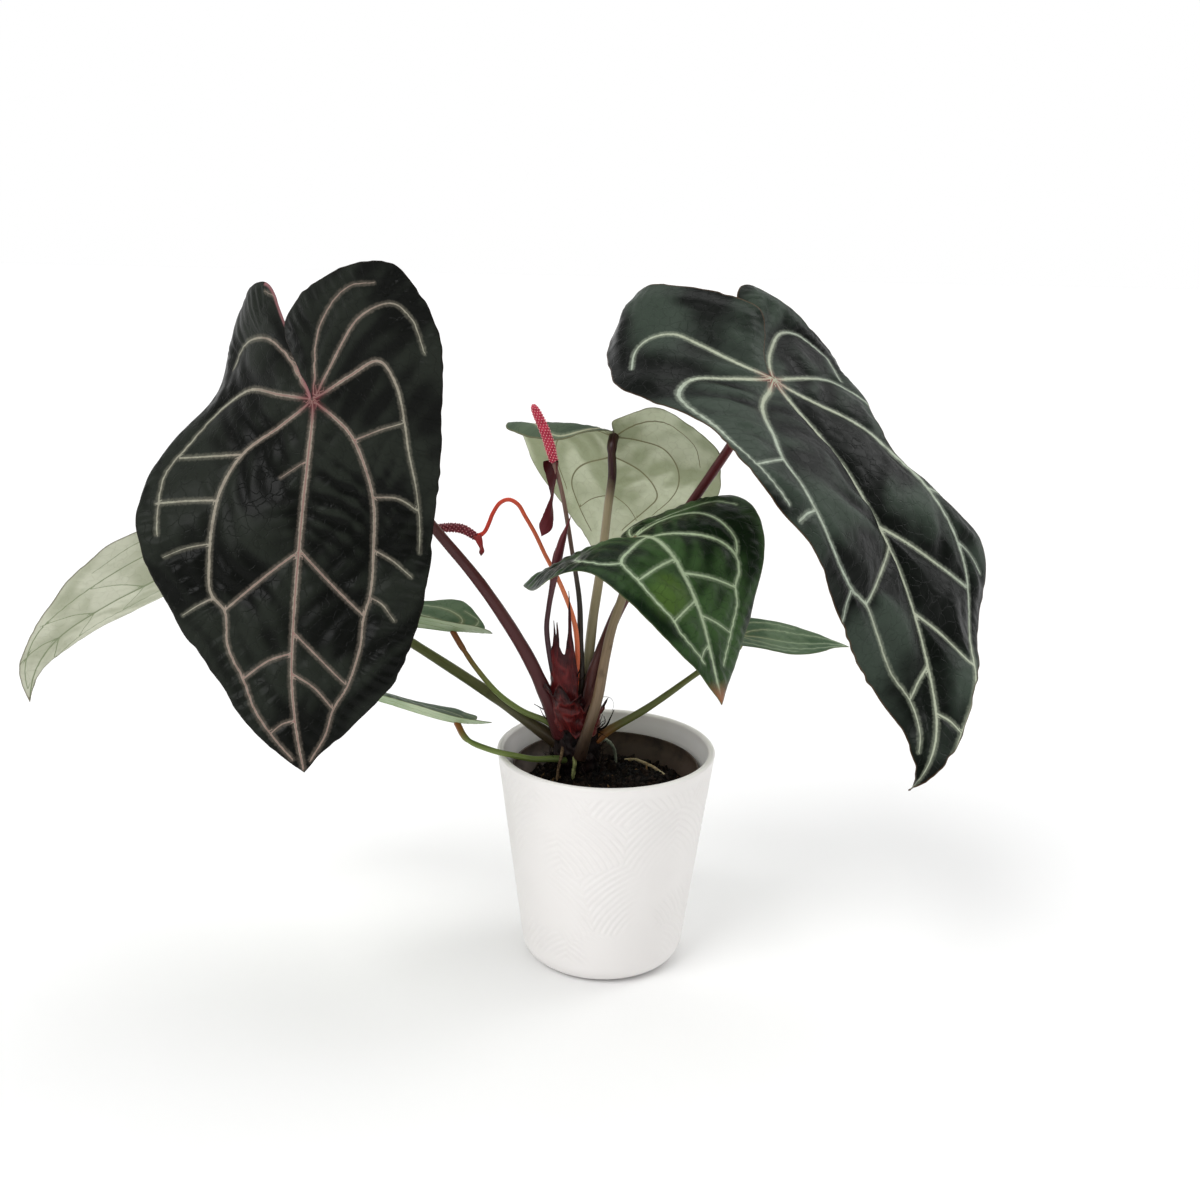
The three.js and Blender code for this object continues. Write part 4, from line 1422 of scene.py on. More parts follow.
def left_large_leaf() -> Leaf:
    """The near-black leaf that hangs on the left and faces the viewer.

    Returns:
        The leaf.
    """
    left_veins = veins_of(Half.LEFT, [
        (0.52, 0.18, (0, 0), (-22, -18), (-42, -26), (-53, -32), (-55, -40)),
        (1, 0.44, (0, 0), (16, -21), (32, -41), (51, -48), (70, -50), (91, -50), (111, -48), (121, -39),
         (140, -36), (156, -27), (172, -21), (185, -14), (200, -5)),
        (0.96, 0.37, (0, 0), (-1, -25), (-2, -55), (11, -75), (30, -82), (45, -87), (63, -84), (80, -81)),
        (0.89, 0.3, (0, 0), (-24, -26), (-31, -43), (-25, -68), (-13, -78)),
        (0.67, 0.52, (86, 0), (102, -19), (120, -39)),
        (0.59, 0.44, (143, 0), (147, -13), (156, -27)),
        (0.44, 0.3, (180, 0), (181, -7), (185, -14)),
        (0.59, 0.44, (34, -44), (36, -62), (38, -83)),
        (0.59, 0.44, (60, -50), (61, -66), (63, -85)),
        (0.44, 0.22, (114, -47), (118, -55), (123, -63)),
        (0.33, 0.18, (84, -51), (87, -64), (92, -76)),
        (0.21, 0.15, (34, 0), (39, -7), (45, -15)),
    ])
    right_veins = veins_of(Half.RIGHT, [
        (0.96, 0.44, (0, 0), (17, 23), (36, 33), (56, 39), (80, 41), (106, 41), (122, 38), (139, 37),
         (163, 30), (177, 21), (191, 15), (203, 5)),
        (0.96, 0.22, (0, 0), (-15, 22), (-24, 40), (-11, 50), (6, 54), (25, 57), (45, 62), (66, 66),
         (80, 67)),
        (0.81, 0.26, (0, 0), (-26, 13), (-49, 30), (-57, 48), (-48, 59), (-30, 66)),
        (0.67, 0.22, (0, 0), (-34, 0), (-55, 12), (-67, 26), (-69, 38)),
        (0.67, 0.52, (85, 0), (102, 18), (120, 38)),
        (0.52, 0.37, (131, 0), (146, 15), (163, 30)),
        (0.52, 0.37, (154, 0), (163, 12), (176, 21)),
        (0.44, 0.22, (20, 26), (13, 40), (8, 53)),
        (0.52, 0.37, (51, 38), (50, 52), (56, 64)),
        (0.52, 0.3, (81, 41), (87, 53), (95, 63)),
        (0.44, 0.18, (109, 41), (113, 48), (122, 55)),
    ])
    blade = Blade(
        join=(-168, -62, 372), length=209, lobes=(59, 83), left=[23, 41, 82, 98, 92, 91, 41, 20],
        right=[37, 58, 72, 74, 75, 74, 42, -24], heading=[-1, -23, -6, 2, 41],
        pitch=[-107, -78, -66, -66, -66], roll=[9, -7, 17], fold_left=[-19, -2, -7], fold_right=[20, -9, 9],
        curl_left=[-39, -11, -10], curl_right=[-31, -7, -15], veins=[*left_veins, *right_veins],
        midrib=(1.25, 0.6), quilting=2.0, pillows=0.3, feather=0.8, ribs=0.7, ripple=1.8, waver=(0.9, 14),
        crumpled=(56, 20, 27), seed=11)
    finish = LeafFinish(
        "velvet_black_green", ground=(8, 10, 7), ground_mottle_and_highlight=(32, 36, 30), vein=(152, 140, 127),
        vein_core=(140, 106, 100), vein_far=(156, 155, 138), join=(98, 46, 52), under=(118, 124, 98),
        under_mottle_and_highlight=(138, 143, 117), under_vein=(152, 132, 112), margin=(34, 28, 24), sinus=(146, 100, 102),
        net=0.25, join_reach=18, gloss=0.09, roughness=0.36, halo=0.26)
    stalk = StalkFinish(
        "stalk_maroon", (72, 26, 29), (78, 37, 37), (84, 40, 42), roughness=0.4, streak=0.25)
    return Leaf(
        "left_large", blade, finish, "leaf_dark", stalk_knots=[(-28, 0, 151), (-37, -6, 175),
        (-52, -10, 209), (-78, -18, 253), (-105, -27, 290), (-136, -36, 332)], radii=(4.7, 3.0),
        stalk_finish=stalk, stalk_slot="stalk_red", flare=0.45)


def right_large_leaf() -> Leaf:
    """The long grey-green leaf that hangs on the right and turns its tip back.

    Returns:
        The leaf.
    """
    left_veins = veins_of(Half.LEFT, [
        (1.2, 0.5, (0, 0), (-25, -13), (-42, -20), (-57, -29), (-62, -44), (-59, -53), (-48, -62)),
        (1.2, 0.5, (0, 0), (-11, -27), (-20, -44), (-15, -60), (-4, -70), (14, -80), (44, -98), (67, -102),
         (95, -96)),
        (1.3, 0.3, (0, 0), (6, -9), (15, -28), (33, -49), (64, -73), (83, -76), (101, -77), (120, -73),
         (142, -60), (152, -48), (172, -37), (194, -25), (211, -14), (230, -9), (244, -8)),
        (0.9, 0.6, (121, 0), (136, -26), (152, -48)),
        (0.7, 0.5, (191, 0), (200, -8), (211, -14)),
        (0.6, 0.6, (66, -101), (65, -88), (64, -74)),
        (0.6, 0.5, (105, -93), (102, -85), (101, -77)),
        (0.5, 0.25, (142, -60), (150, -64), (160, -66)),
    ])
    right_veins = veins_of(Half.RIGHT, [
        (1.3, 0.3, (0, 0), (19, 19), (47, 44), (73, 52), (107, 60), (124, 62), (143, 61), (158, 56),
         (171, 49), (193, 34), (212, 23), (227, 15), (240, 11)),
        (1.2, 0.3, (0, 0), (0, 17), (1, 35), (7, 58), (24, 70), (42, 70), (66, 76), (92, 80)),
        (1.2, 0.5, (0, 0), (-12, 10), (-28, 27), (-43, 47), (-40, 65), (-17, 79), (8, 70)),
        (0.9, 0.7, (108, 0), (130, 27), (152, 56)),
        (0.8, 0.6, (161, 0), (176, 19), (193, 34)),
        (0.6, 0.4, (219, 0), (222, 8), (227, 15)),
        (0.5, 0.25, (92, 57), (100, 72), (112, 84)),
        (0.5, 0.25, (126, 62), (134, 70), (146, 76)),
    ])
    blade = Blade(
        join=(91, -20, 381), length=273, lobes=(109, 84), left=[14, 34, 81, 110, 79, 74, 53, -24],
        right=[12, 28, 87, 53, 90, 84, 31, 14], heading=[11, 50, 43, 27, -52],
        pitch=[-46, -36, -47, -60, -15], roll=[20, -9, -6], fold_left=[-30, 16, -25],
        fold_right=[-24, 12, -20], curl_left=[-19, -22, -16], curl_right=[-16, -7, -17],
        veins=[*left_veins, *right_veins], midrib=(1.6, 0.4), quilting=2.9, pillows=0.2, ripple=2.4,
        swell_reach=34, fold_pitch=24, feather=1.5, ribs=0.3, waver=(1.1, 16), seed=23)
    finish = LeafFinish(
        "velvet_grey_green", ground=(5, 9, 5), ground_mottle_and_highlight=(56, 66, 57), vein=(170, 178, 156),
        vein_core=(176, 180, 158), vein_far=(172, 183, 166), join=(140, 96, 88), under=(142, 145, 118),
        under_mottle_and_highlight=(164, 167, 140), under_vein=(168, 152, 132), margin=(84, 62, 42), tip=(70, 56, 50),
        tip_start=0.95, net=0.2, join_reach=16, gloss=0.09, roughness=0.36, halo=0.34)
    stalk = StalkFinish("stalk_crimson", (86, 50, 46), (92, 44, 44), (100, 32, 42), roughness=0.36)
    return Leaf(
        "right_large", blade, finish, "leaf_grey_green", stalk_knots=[(-13, 3, 155), (-10, 5, 187),
        (-3, 13, 207), (8, 23, 232), (28, 33, 261), (49, 36, 293), (69, 20, 330), (84, -4, 364)],
        radii=(4.2, 3.0), stalk_finish=stalk, stalk_slot="stalk_red")


def back_leaf() -> Leaf:
    """The leaf at the back, which shows its pale underside.

    Returns:
        The leaf.
    """
    left_veins = veins_of(Half.LEFT, [
        (0.8, 0.3, (0, 0), (2, -17), (5, -32), (15, -41), (27, -45), (43, -45), (58, -41), (76, -32)),
        (0.8, 0.4, (22, 0), (32, -19), (46, -30), (57, -33), (72, -27), (96, -13)),
        (0.7, 0.3, (0, 0), (-14, -16), (-20, -36), (-8, -52), (12, -58)),
        (0.5, 0.3, (60, 0), (72, -14), (84, -22)),
    ])
    right_veins = veins_of(Half.RIGHT, [
        (0.8, 0.4, (22, 0), (41, 17), (59, 27), (70, 28), (84, 21), (102, 9)),
        (0.8, 0.3, (0, 0), (-1, 27), (19, 36), (37, 42), (54, 42), (76, 31)),
        (0.7, 0.3, (0, 0), (-14, 14), (-20, 34), (-8, 50), (12, 56)),
        (0.5, 0.3, (64, 0), (76, 12), (86, 19)),
    ])
    blade = Blade(
        join=(1, 55, 336), length=129, lobes=(32, 23), left=[14, 29, 57, 73, 72, 69, 38, 1],
        right=[10, 23, 59, 72, 69, 66, 36, 4], heading=[169, 180, 186, 188, 189],
        pitch=[-49, -51, -49, -59, -78], roll=[0, 16, 12], fold_left=[-7, 5, 0], fold_right=[-10, 21, 12],
        curl_left=[-20, -16, -20], curl_right=[-26, -9, -18], veins=[*left_veins, *right_veins],
        droop=(0, 0.04), midrib=(1.2, 0.5), quilting=1.4, feather=1.2, fold_pitch=17, ripple=2.0, seed=31)
    finish = LeafFinish(
        "sage_back", ground=(58, 72, 56), ground_mottle_and_highlight=(84, 98, 78), vein=(160, 168, 140),
        vein_core=(165, 160, 135), vein_far=(160, 168, 140), join=(140, 130, 100), under=(172, 180, 146),
        under_mottle_and_highlight=(214, 220, 192), under_vein=(132, 130, 96), margin=(120, 118, 90), net=0.3,
        roughness=0.55)
    stalk = StalkFinish(
        "stalk_straw", (140, 134, 100), (150, 138, 110), (46, 12, 18), roughness=0.4, top_start=0.74,
        top_end=0.84)
    return Leaf(
        "back", blade, finish, "leaf_pale", stalk_knots=[(-17, 12, 156), (-13, 14, 192), (-10, 18, 225),
        (-7, 24, 247), (-4, 31, 273), (-2, 38, 294), (0, 42, 311)], radii=(3.6, 2.8), stalk_finish=stalk,
        stalk_slot="stalk_green")


def front_leaf() -> Leaf:
    """The green leaf in front, with pale veins and a burnt tip.

    Returns:
        The leaf.
    """
    left_veins = veins_of(Half.LEFT, [
        (1.0, 0.5, (15, 0), (24, -18), (36, -36), (52, -35), (66, -31), (79, -24), (87, -22), (106, -9)),
        (0.7, 0.4, (36, -37), (32, -46), (22, -50), (8, -50)),
        (0.9, 0.4, (0, 0), (-12, -8), (-17, -24), (-4, -42), (14, -50)),
        (0.8, 0.5, (41, 0), (45, -16), (51, -34)),
        (0.7, 0.5, (69, 0), (74, -11), (80, -23)),
        (0.5, 0.3, (96, 0), (99, -6), (104, -11)),
    ])
    right_veins = veins_of(Half.RIGHT, [
        (1.0, 0.5, (17, 0), (21, 10), (31, 28), (40, 38), (49, 42), (57, 40), (65, 34), (73, 33), (87, 25),
         (108, 11)),
        (0.9, 0.5, (0, 0), (0, 14), (2, 27), (11, 40), (20, 45), (30, 47), (40, 47), (49, 42)),
        (0.8, 0.3, (0, 0), (-5, 18), (-1, 39), (9, 60), (20, 66)),
        (0.8, 0.5, (51, 0), (57, 17), (65, 33)),
        (0.6, 0.4, (78, 0), (83, 10), (90, 22)),
        (0.8, 0.3, (0, 0), (-14, 10), (-28, 26), (-24, 44)),
    ])
    blade = Blade(
        join=(12, -25, 288), length=131, lobes=(54, 38), left=[14, 29, 47, 58, 68, 62, 44, 1],
        right=[19, 33, 54, 71, 75, 66, 42, 7], heading=[36, 38, 39, 33, 25], pitch=[13, 16, -39, -59, -64],
        roll=[23, 1, -24], fold_left=[4, 8, 10], fold_right=[0, 5, -13], curl_left=[-13, -22, -15],
        curl_right=[-26, 2, -30], veins=[*left_veins, *right_veins], midrib=(1.8, 0.8), quilting=1.6,
        pillows=0.35, feather=0.7, ripple=1.2, ribs=0.5, seed=41)
    finish = LeafFinish(
        "front_green", ground=(14, 30, 14), ground_mottle_and_highlight=(60, 86, 50), vein=(176, 194, 162),
        vein_core=(184, 200, 168), vein_far=(170, 188, 158), join=(150, 166, 130), under=(144, 160, 118),
        under_mottle_and_highlight=(164, 178, 138), under_vein=(176, 184, 150), margin=(84, 92, 60), tip=(150, 100, 68),
        tip_start=0.89, patch=(84, 112, 52), patch_at=(64, -18, 0), patch_size=15, net=0.35, gloss=0.1,
        roughness=0.36, halo=0.34)
    stalk = StalkFinish(
        "stalk_olive_brown", (50, 36, 28), (126, 106, 82), (138, 126, 94), roughness=0.4, foot_end=0.42)
    return Leaf(
        "front", blade, finish, "leaf_green", stalk_knots=[(-17, -7, 138), (-11, -15, 163), (-6, -16, 182),
        (-3, -17, 202), (1, -18, 225), (7, -21, 247)], radii=(3.8, 2.8), stalk_finish=stalk,
        stalk_slot="stalk_green")


def rear_left_leaf() -> Leaf:
    """The pale leaf that reaches out behind the large left one.

    Returns:
        The leaf.
    """
    blade = Blade(
        join=(-219, 35, 262), length=201, lobes=(45, 45), left=[5, 20, 40, 54, 55, 51, 30, 6],
        right=[11, 19, 47, 52, 55, 51, 30, 5], heading=[-81, -81, -81, -83, -100],
        pitch=[13, -2, -26, -34, -86], roll=[56, 44, 45], fold_left=[-3, 19, 3], fold_right=[-1, 8, 2],
        curl_left=[-17, -5, -14], curl_right=[-16, -10, -12], veins=plain_veins(201, 54, 45, 0.9),
        midrib=(1.4, 0.5), quilting=1.0, feather=0.5, ripple=1.0, seed=53)
    finish = LeafFinish(
        "sage_rear", ground=(70, 86, 64), ground_mottle_and_highlight=(92, 108, 84), vein=(165, 172, 146),
        vein_core=(165, 165, 140), vein_far=(165, 172, 146), join=(140, 135, 105), under=(176, 180, 156),
        under_mottle_and_highlight=(206, 208, 188), under_vein=(140, 150, 120), margin=(96, 88, 70), tip=(110, 84, 70),
        tip_start=0.97, net=0.3, roughness=0.55)
    stalk = StalkFinish(
        "stalk_dark_olive", (58, 46, 32), (104, 108, 66), (112, 118, 76), roughness=0.4, foot_end=0.36)
    return Leaf(
        "rear_left", blade, finish, "leaf_pale", stalk_knots=[(-30, 7, 141), (-43, 6, 151), (-69, 10, 169),
        (-124, 24, 200), (-173, 30, 229), (-203, 28, 247)], radii=(4.2, 2.8), stalk_finish=stalk,
        stalk_slot="stalk_green")


def young_finish(name: str) -> LeafFinish:
    """The finish of the three young leaves: mid green above and pale below.

    Args:
        name: The material's name.

    Returns:
        The finish.
    """
    return LeafFinish(
        name, ground=(70, 96, 68), ground_mottle_and_highlight=(106, 128, 100), vein=(158, 176, 146),
        vein_core=(168, 184, 156), vein_far=(158, 176, 146), join=(140, 140, 100), under=(148, 168, 128),
        under_mottle_and_highlight=(176, 190, 156), under_vein=(128, 148, 108), margin=(110, 116, 84), net=0.2, spurs=0.5,
        roughness=0.45)


def young_leaves() -> list[Leaf]:
    """The two small V-folded leaves on the left and the small one at the right rear.

    Returns:
        The leaves.
    """
    upper = Blade(
        join=(-100, 15, 214), length=95, lobes=(22, 22), left=[6, 12, 22, 25, 30, 26, 6, 4],
        right=[6, 12, 22, 29, 26, 28, 13, 3], heading=[-72, -81, -82, -81, -80], pitch=[16, 8, 7, -7, -28],
        roll=[6, 10, 11], fold_left=[35, 32, 30], fold_right=[16, 22, 21], curl_left=[0, 0, 0],
        curl_right=[0, 0, 0], veins=plain_veins(95, 28, 22, 0.85), midrib=(1.0, 0.3), spacing=1.0,
        quilting=0.4, ripple=0.3, seed=61)
    lower = Blade(
        join=(-95, -10, 161), length=116, lobes=(17, 19), left=[6, 13, 20, 29, 31, 24, 15, 3],
        right=[6, 13, 23, 28, 29, 27, 16, 3], heading=[-71, -79, -84, -82, -80], pitch=[4, 14, 20, 8, -17],
        roll=[17, 18, 15], fold_left=[17, 12, 27], fold_right=[9, 10, 21], curl_left=[0, 0, 0],
        curl_right=[0, 0, 0], veins=plain_veins(116, 29, 18), midrib=(0.9, 0.3), spacing=1.0, quilting=0.4,
        ripple=0.3, seed=67)
    right = Blade(
        join=(84, 20, 213), length=71, lobes=(22, 22), left=[5, 12, 23, 24, 27, 24, 14, 3],
        right=[5, 11, 21, 24, 26, 24, 14, 3], heading=[80, 82, 83, 91, 91], pitch=[4, -1, -8, 2, -11],
        roll=[0, 4, 6], fold_left=[9, 6, 5], fold_right=[9, 10, 10], curl_left=[0, 0, 0],
        curl_right=[0, 0, 0], veins=plain_veins(71, 26, 22, 0.45, side_veins=False), midrib=(0.7, 0.3),
        spacing=0.9, quilting=0.4, ripple=0.3, seed=71)
    upper_stalk = StalkFinish(
        "stalk_green_upper", (92, 104, 56), (124, 140, 76), (128, 74, 40), roughness=0.38)
    lower_stalk = StalkFinish(
        "stalk_green_lower", (80, 94, 48), (114, 130, 68), (140, 84, 40), roughness=0.38, top_start=0.8)
    right_stalk = StalkFinish(
        "stalk_green_right", (136, 84, 44), (84, 92, 44), (100, 108, 58), roughness=0.38, foot_end=0.2)
    return [
        Leaf(
            "small_upper", upper, young_finish("young_upper"), "leaf_young", stalk_knots=[(-31, 3, 153),
            (-39, 1, 159), (-54, 2, 165), (-69, 4, 175), (-84, 8, 191), (-93, 12, 203)], radii=(2.1, 1.7),
            stalk_finish=upper_stalk, stalk_slot="stalk_green", bends=False),
        Leaf(
            "small_lower", lower, young_finish("young_lower"), "leaf_young", stalk_knots=[(-26, -5, 135),
            (-33, -11, 138), (-46, -17, 140), (-57, -22, 144), (-73, -25, 149), (-88, -18, 153)],
            radii=(2.2, 1.8), stalk_finish=lower_stalk, stalk_slot="stalk_green", bends=False),
        Leaf(
            "rear_right", right, young_finish("young_right"), "leaf_young", stalk_knots=[(-7, 6, 145),
            (2, 6, 152), (26, 10, 166), (57, 16, 188), (78, 19, 203)], radii=(2.9, 1.9),
            stalk_finish=right_stalk, stalk_slot="stalk_green"),
    ]


@dataclass
class NewLeaf:
    """The furled new leaf: a slender spindle on its dark stalk."""

    course: Sequence[Place] = ((-28, -2, 166), (-33, -3, 185), (-39, -3, 221), (-38, -2, 235), (-36, -1, 248),
                               (-31, -2, 276), (-25, -4, 295))
    stalk_radius: float = 2.0
    bud_radius: float = 2.9
    wraps: float = 2.5
    bud_middle: float = 0.78
    bud_reach: float = 0.13

    def radius(self, f: Points, a: Points) -> Points:
        """The radius of the stalk and its bud, with the rolled edge winding up the bud.

        Args:
            f: Fraction of the length, from the foot.
            a: Turn round the middle line.

        Returns:
            The radius at each.
        """
        swell = np.exp(-(((f - self.bud_middle) / self.bud_reach) ** 2))
        taper = np.minimum(1, (1.015 - f) * 8)
        plain = self.stalk_radius * (1 - 0.35 * f) + (self.bud_radius - self.stalk_radius * 0.7) * swell
        roll = ((a / FULL_TURN + f * self.wraps) % 1.0 - 0.5) * 0.22 * swell
        return plain * np.maximum(taper, 0.05) * (1 + roll)

    def build(self) -> None:
        """Makes the stalk and the bud as one body."""
        piece = sweep("new_leaf_bud", course_points(self.course, 0.9), self.radius, 32)
        finish = StalkFinish("bud_maroon", (50, 40, 44), (70, 40, 46), (112, 48, 54), roughness=0.32)
        finish_piece(piece, finish.material(), ["new_leaf"])


@dataclass
class FlowerSpike:
    """A flower stalk with its spike of tiny flowers and its spathe."""

    name: str
    stalk_course: Sequence[Place]
    stalk_radii: tuple[float, float]
    stalk_finish: StalkFinish
    spike_course: Sequence[Place]
    spike_radius: float
    flowers: int
    flower_size: float
    flesh: FleshFinish
    stigma: FleshFinish
    spathe: Blade
    spathe_finish: PaperFinish

    def core_radius(self, f: Points, a: Points) -> Points:
        """The radius of the spike under its flowers.

        Args:
            f: Fraction of the length, from the foot.
            a: Turn round the middle line, which makes no difference.

        Returns:
            The radius at each.
        """
        end = np.sqrt(np.maximum(SPIKE_END, 1 - f**SPIKE_BLUNTNESS))
        shape = np.minimum(1, SPIKE_FOOT + f) * end * (1 - SPIKE_TAPER * f)
        return (self.spike_radius - SPIKE_INSET) * shape * (1 + 0 * a)

    def build(self) -> None:
        """Makes the stalk, the spike's core, its flowers and the spathe."""
        stalk = Stalk(self.stalk_course, self.stalk_radii, self.stalk_finish, "flower_stalk", joint=4.0,
                      ridges=5)
        stalk.build(f"peduncle_{self.name}", f"flower_stalk_{self.name}")
        line = course_points(self.spike_course, 0.8)
        core = sweep(f"spadix_core_{self.name}", line, self.core_radius, 20)
        flesh = self.flesh.material()
        finish_piece(core, flesh, [f"flower_spike_{self.name}"])
        self.flowers_piece(line, flesh, self.stigma.material())
        spathe = self.spathe.build(f"spathe_leaf_{self.name}")
        finish_piece(spathe, self.spathe_finish.material(), [f"spathe_{self.name}"])

    def flowers_piece(self, line: Points, flesh: bpy.types.Material, stigma: bpy.types.Material) -> None:
        """Sets the flowers round the spike in their spiral.

        Args:
            line: The spike's middle line.
            flesh: The flowers' material.
            stigma: The stigmas' material.
        """
        axis = make_object(f"spadix_flowers_{self.name}", line, [])
        axis.data.edges.add(len(line) - 1)
        pairs = np.column_stack([np.arange(len(line) - 1), np.arange(1, len(line))])
        axis.data.edges.foreach_set("vertices", pairs.ravel())
        axis.data.update()
        settings = {"Count": self.flowers, "Radius": (self.spike_radius - SPIKE_INSET) * MM,
                    "Flower Size": self.flower_size * MM, "Flesh": flesh, "Stigma": stigma}
        piece = apply_tree(axis, flower_spiral_tree(), settings)
        finish_piece(piece)


def apply_tree(thing: bpy.types.Object, tree: bpy.types.NodeTree, settings: dict[str, object]
               ) -> bpy.types.Object:
    """Runs a geometry tree on an object and keeps only the mesh that it makes.

    Args:
        thing: The object whose mesh is the tree's input.
        tree: The geometry tree.
        settings: Values for the tree's inputs, by name.

    Returns:
        The same object with the result as its plain mesh.
    """
    modifier = thing.modifiers.new("make", "NODES")
    modifier.node_group = tree
    names = {item.name: item.identifier for item in tree.interface.items_tree if item.item_type == "SOCKET"}
    for name, value in settings.items():
        modifier[names[name]] = value
    thing.update_tag()
    bpy.context.view_layer.update()
    evaluated = thing.evaluated_get(bpy.context.evaluated_depsgraph_get())
    mesh = bpy.data.meshes.new_from_object(evaluated)
    thing.modifiers.remove(modifier)
    old = thing.data
    thing.data = mesh
    bpy.data.meshes.remove(old)
    return thing


def geometry_tree(name: str, inputs: Sequence[tuple[str, str]]) -> tuple[Graph, bpy.types.Node]:
    """Starts a geometry tree with named inputs and one geometry output.

    Args:
        name: The tree's name.
        inputs: Name and socket type of each input after the geometry.

    Returns:
        The graph and its input node.
    """
    tree = bpy.data.node_groups.new(name, "GeometryNodeTree")
    tree.interface.new_socket("Geometry", in_out="INPUT", socket_type="NodeSocketGeometry")
    for label, kind in inputs:
        tree.interface.new_socket(label, in_out="INPUT", socket_type=kind)
    tree.interface.new_socket("Geometry", in_out="OUTPUT", socket_type="NodeSocketGeometry")
    graph = Graph(tree)
    return graph, graph.add("NodeGroupInput")


def flower_spiral_tree() -> bpy.types.NodeTree:
    """Tiny flowers in a spiral round a line, each with a pale stigma.

    Returns:
        The geometry tree.
    """
    g, given = geometry_tree("flower_spiral", [
        ("Count", "NodeSocketInt"), ("Radius", "NodeSocketFloat"), ("Flower Size", "NodeSocketFloat"),
        ("Flesh", "NodeSocketMaterial"), ("Stigma", "NodeSocketMaterial")])
    value = given.outputs

    curve = g.add("GeometryNodeMeshToCurve", {"Mesh": value["Geometry"]}).outputs["Curve"]
    dots = g.add("GeometryNodeMeshLine", {"Count": value["Count"]}).outputs["Mesh"]
    index = g.add("GeometryNodeInputIndex").outputs["Index"]
    fraction = g.maths("DIVIDE", g.plus(index, 0.5), value["Count"])
    sample = g.add("GeometryNodeSampleCurve", {"Curves": curve, "Factor": fraction}, mode="FACTOR",
                   use_all_curves=True)
    turn = g.times(index, GOLDEN_TURN)
    across = sample.outputs["Normal"]
    other = g.add("ShaderNodeVectorMath", {0: sample.outputs["Tangent"], 1: across},
                  operation="CROSS_PRODUCT").outputs[0]
    out = g.shifted(g.scaled(across, g.maths("COSINE", turn)), g.scaled(other, g.maths("SINE", turn)))
    thin = g.minus(1.0, g.times(fraction, SPIKE_TAPER))
    end = g.maths("MAXIMUM", g.minus(1.0, g.maths("POWER", fraction, SPIKE_BLUNTNESS)), SPIKE_END)
    start = g.maths("MINIMUM", g.plus(fraction, SPIKE_FOOT), 1.0)
    reach = g.times(value["Radius"], g.times(thin, g.times(g.maths("SQRT", end), start)))
    place = g.shifted(sample.outputs["Position"], g.scaled(out, reach))
    placed = g.add("GeometryNodeSetPosition", {"Geometry": dots, "Position": place}).outputs["Geometry"]
    stand = g.add("FunctionNodeAlignRotationToVector", {"Vector": out}, axis="Z").outputs["Rotation"]
    ball = g.add("GeometryNodeMeshUVSphere", {"Segments": 6, "Rings": 4, "Radius": 1.0}).outputs["Mesh"]
    size = g.times(value["Flower Size"], thin)
    flat, small = g.times(size, 0.6), g.times(size, 0.52)
    lift = g.scaled(out, g.times(size, 0.5))
    lifted = g.add("GeometryNodeSetPosition", {"Geometry": placed, "Offset": lift}).outputs["Geometry"]
    both = g.add("GeometryNodeJoinGeometry")
    for spots, wide, tall, finish in ((placed, size, flat, "Flesh"), (lifted, small, small, "Stigma")):
        scale = g.add("ShaderNodeCombineXYZ", {0: wide, 1: wide, 2: tall}).outputs[0]
        copies = g.add("GeometryNodeInstanceOnPoints", {
            "Points": spots, "Instance": ball, "Rotation": stand, "Scale": scale}).outputs["Instances"]
        real = g.add("GeometryNodeRealizeInstances", {"Geometry": copies}).outputs["Geometry"]
        smooth = g.add("GeometryNodeSetShadeSmooth", {"Geometry": real, "Shade Smooth": True}).outputs[0]
        dressed = g.add("GeometryNodeSetMaterial", {"Geometry": smooth, "Material": value[finish]}).outputs[0]
        g.tree.links.new(dressed, both.inputs[0])
    g.add("NodeGroupOutput", {"Geometry": both.outputs[0]})
    return g.tree


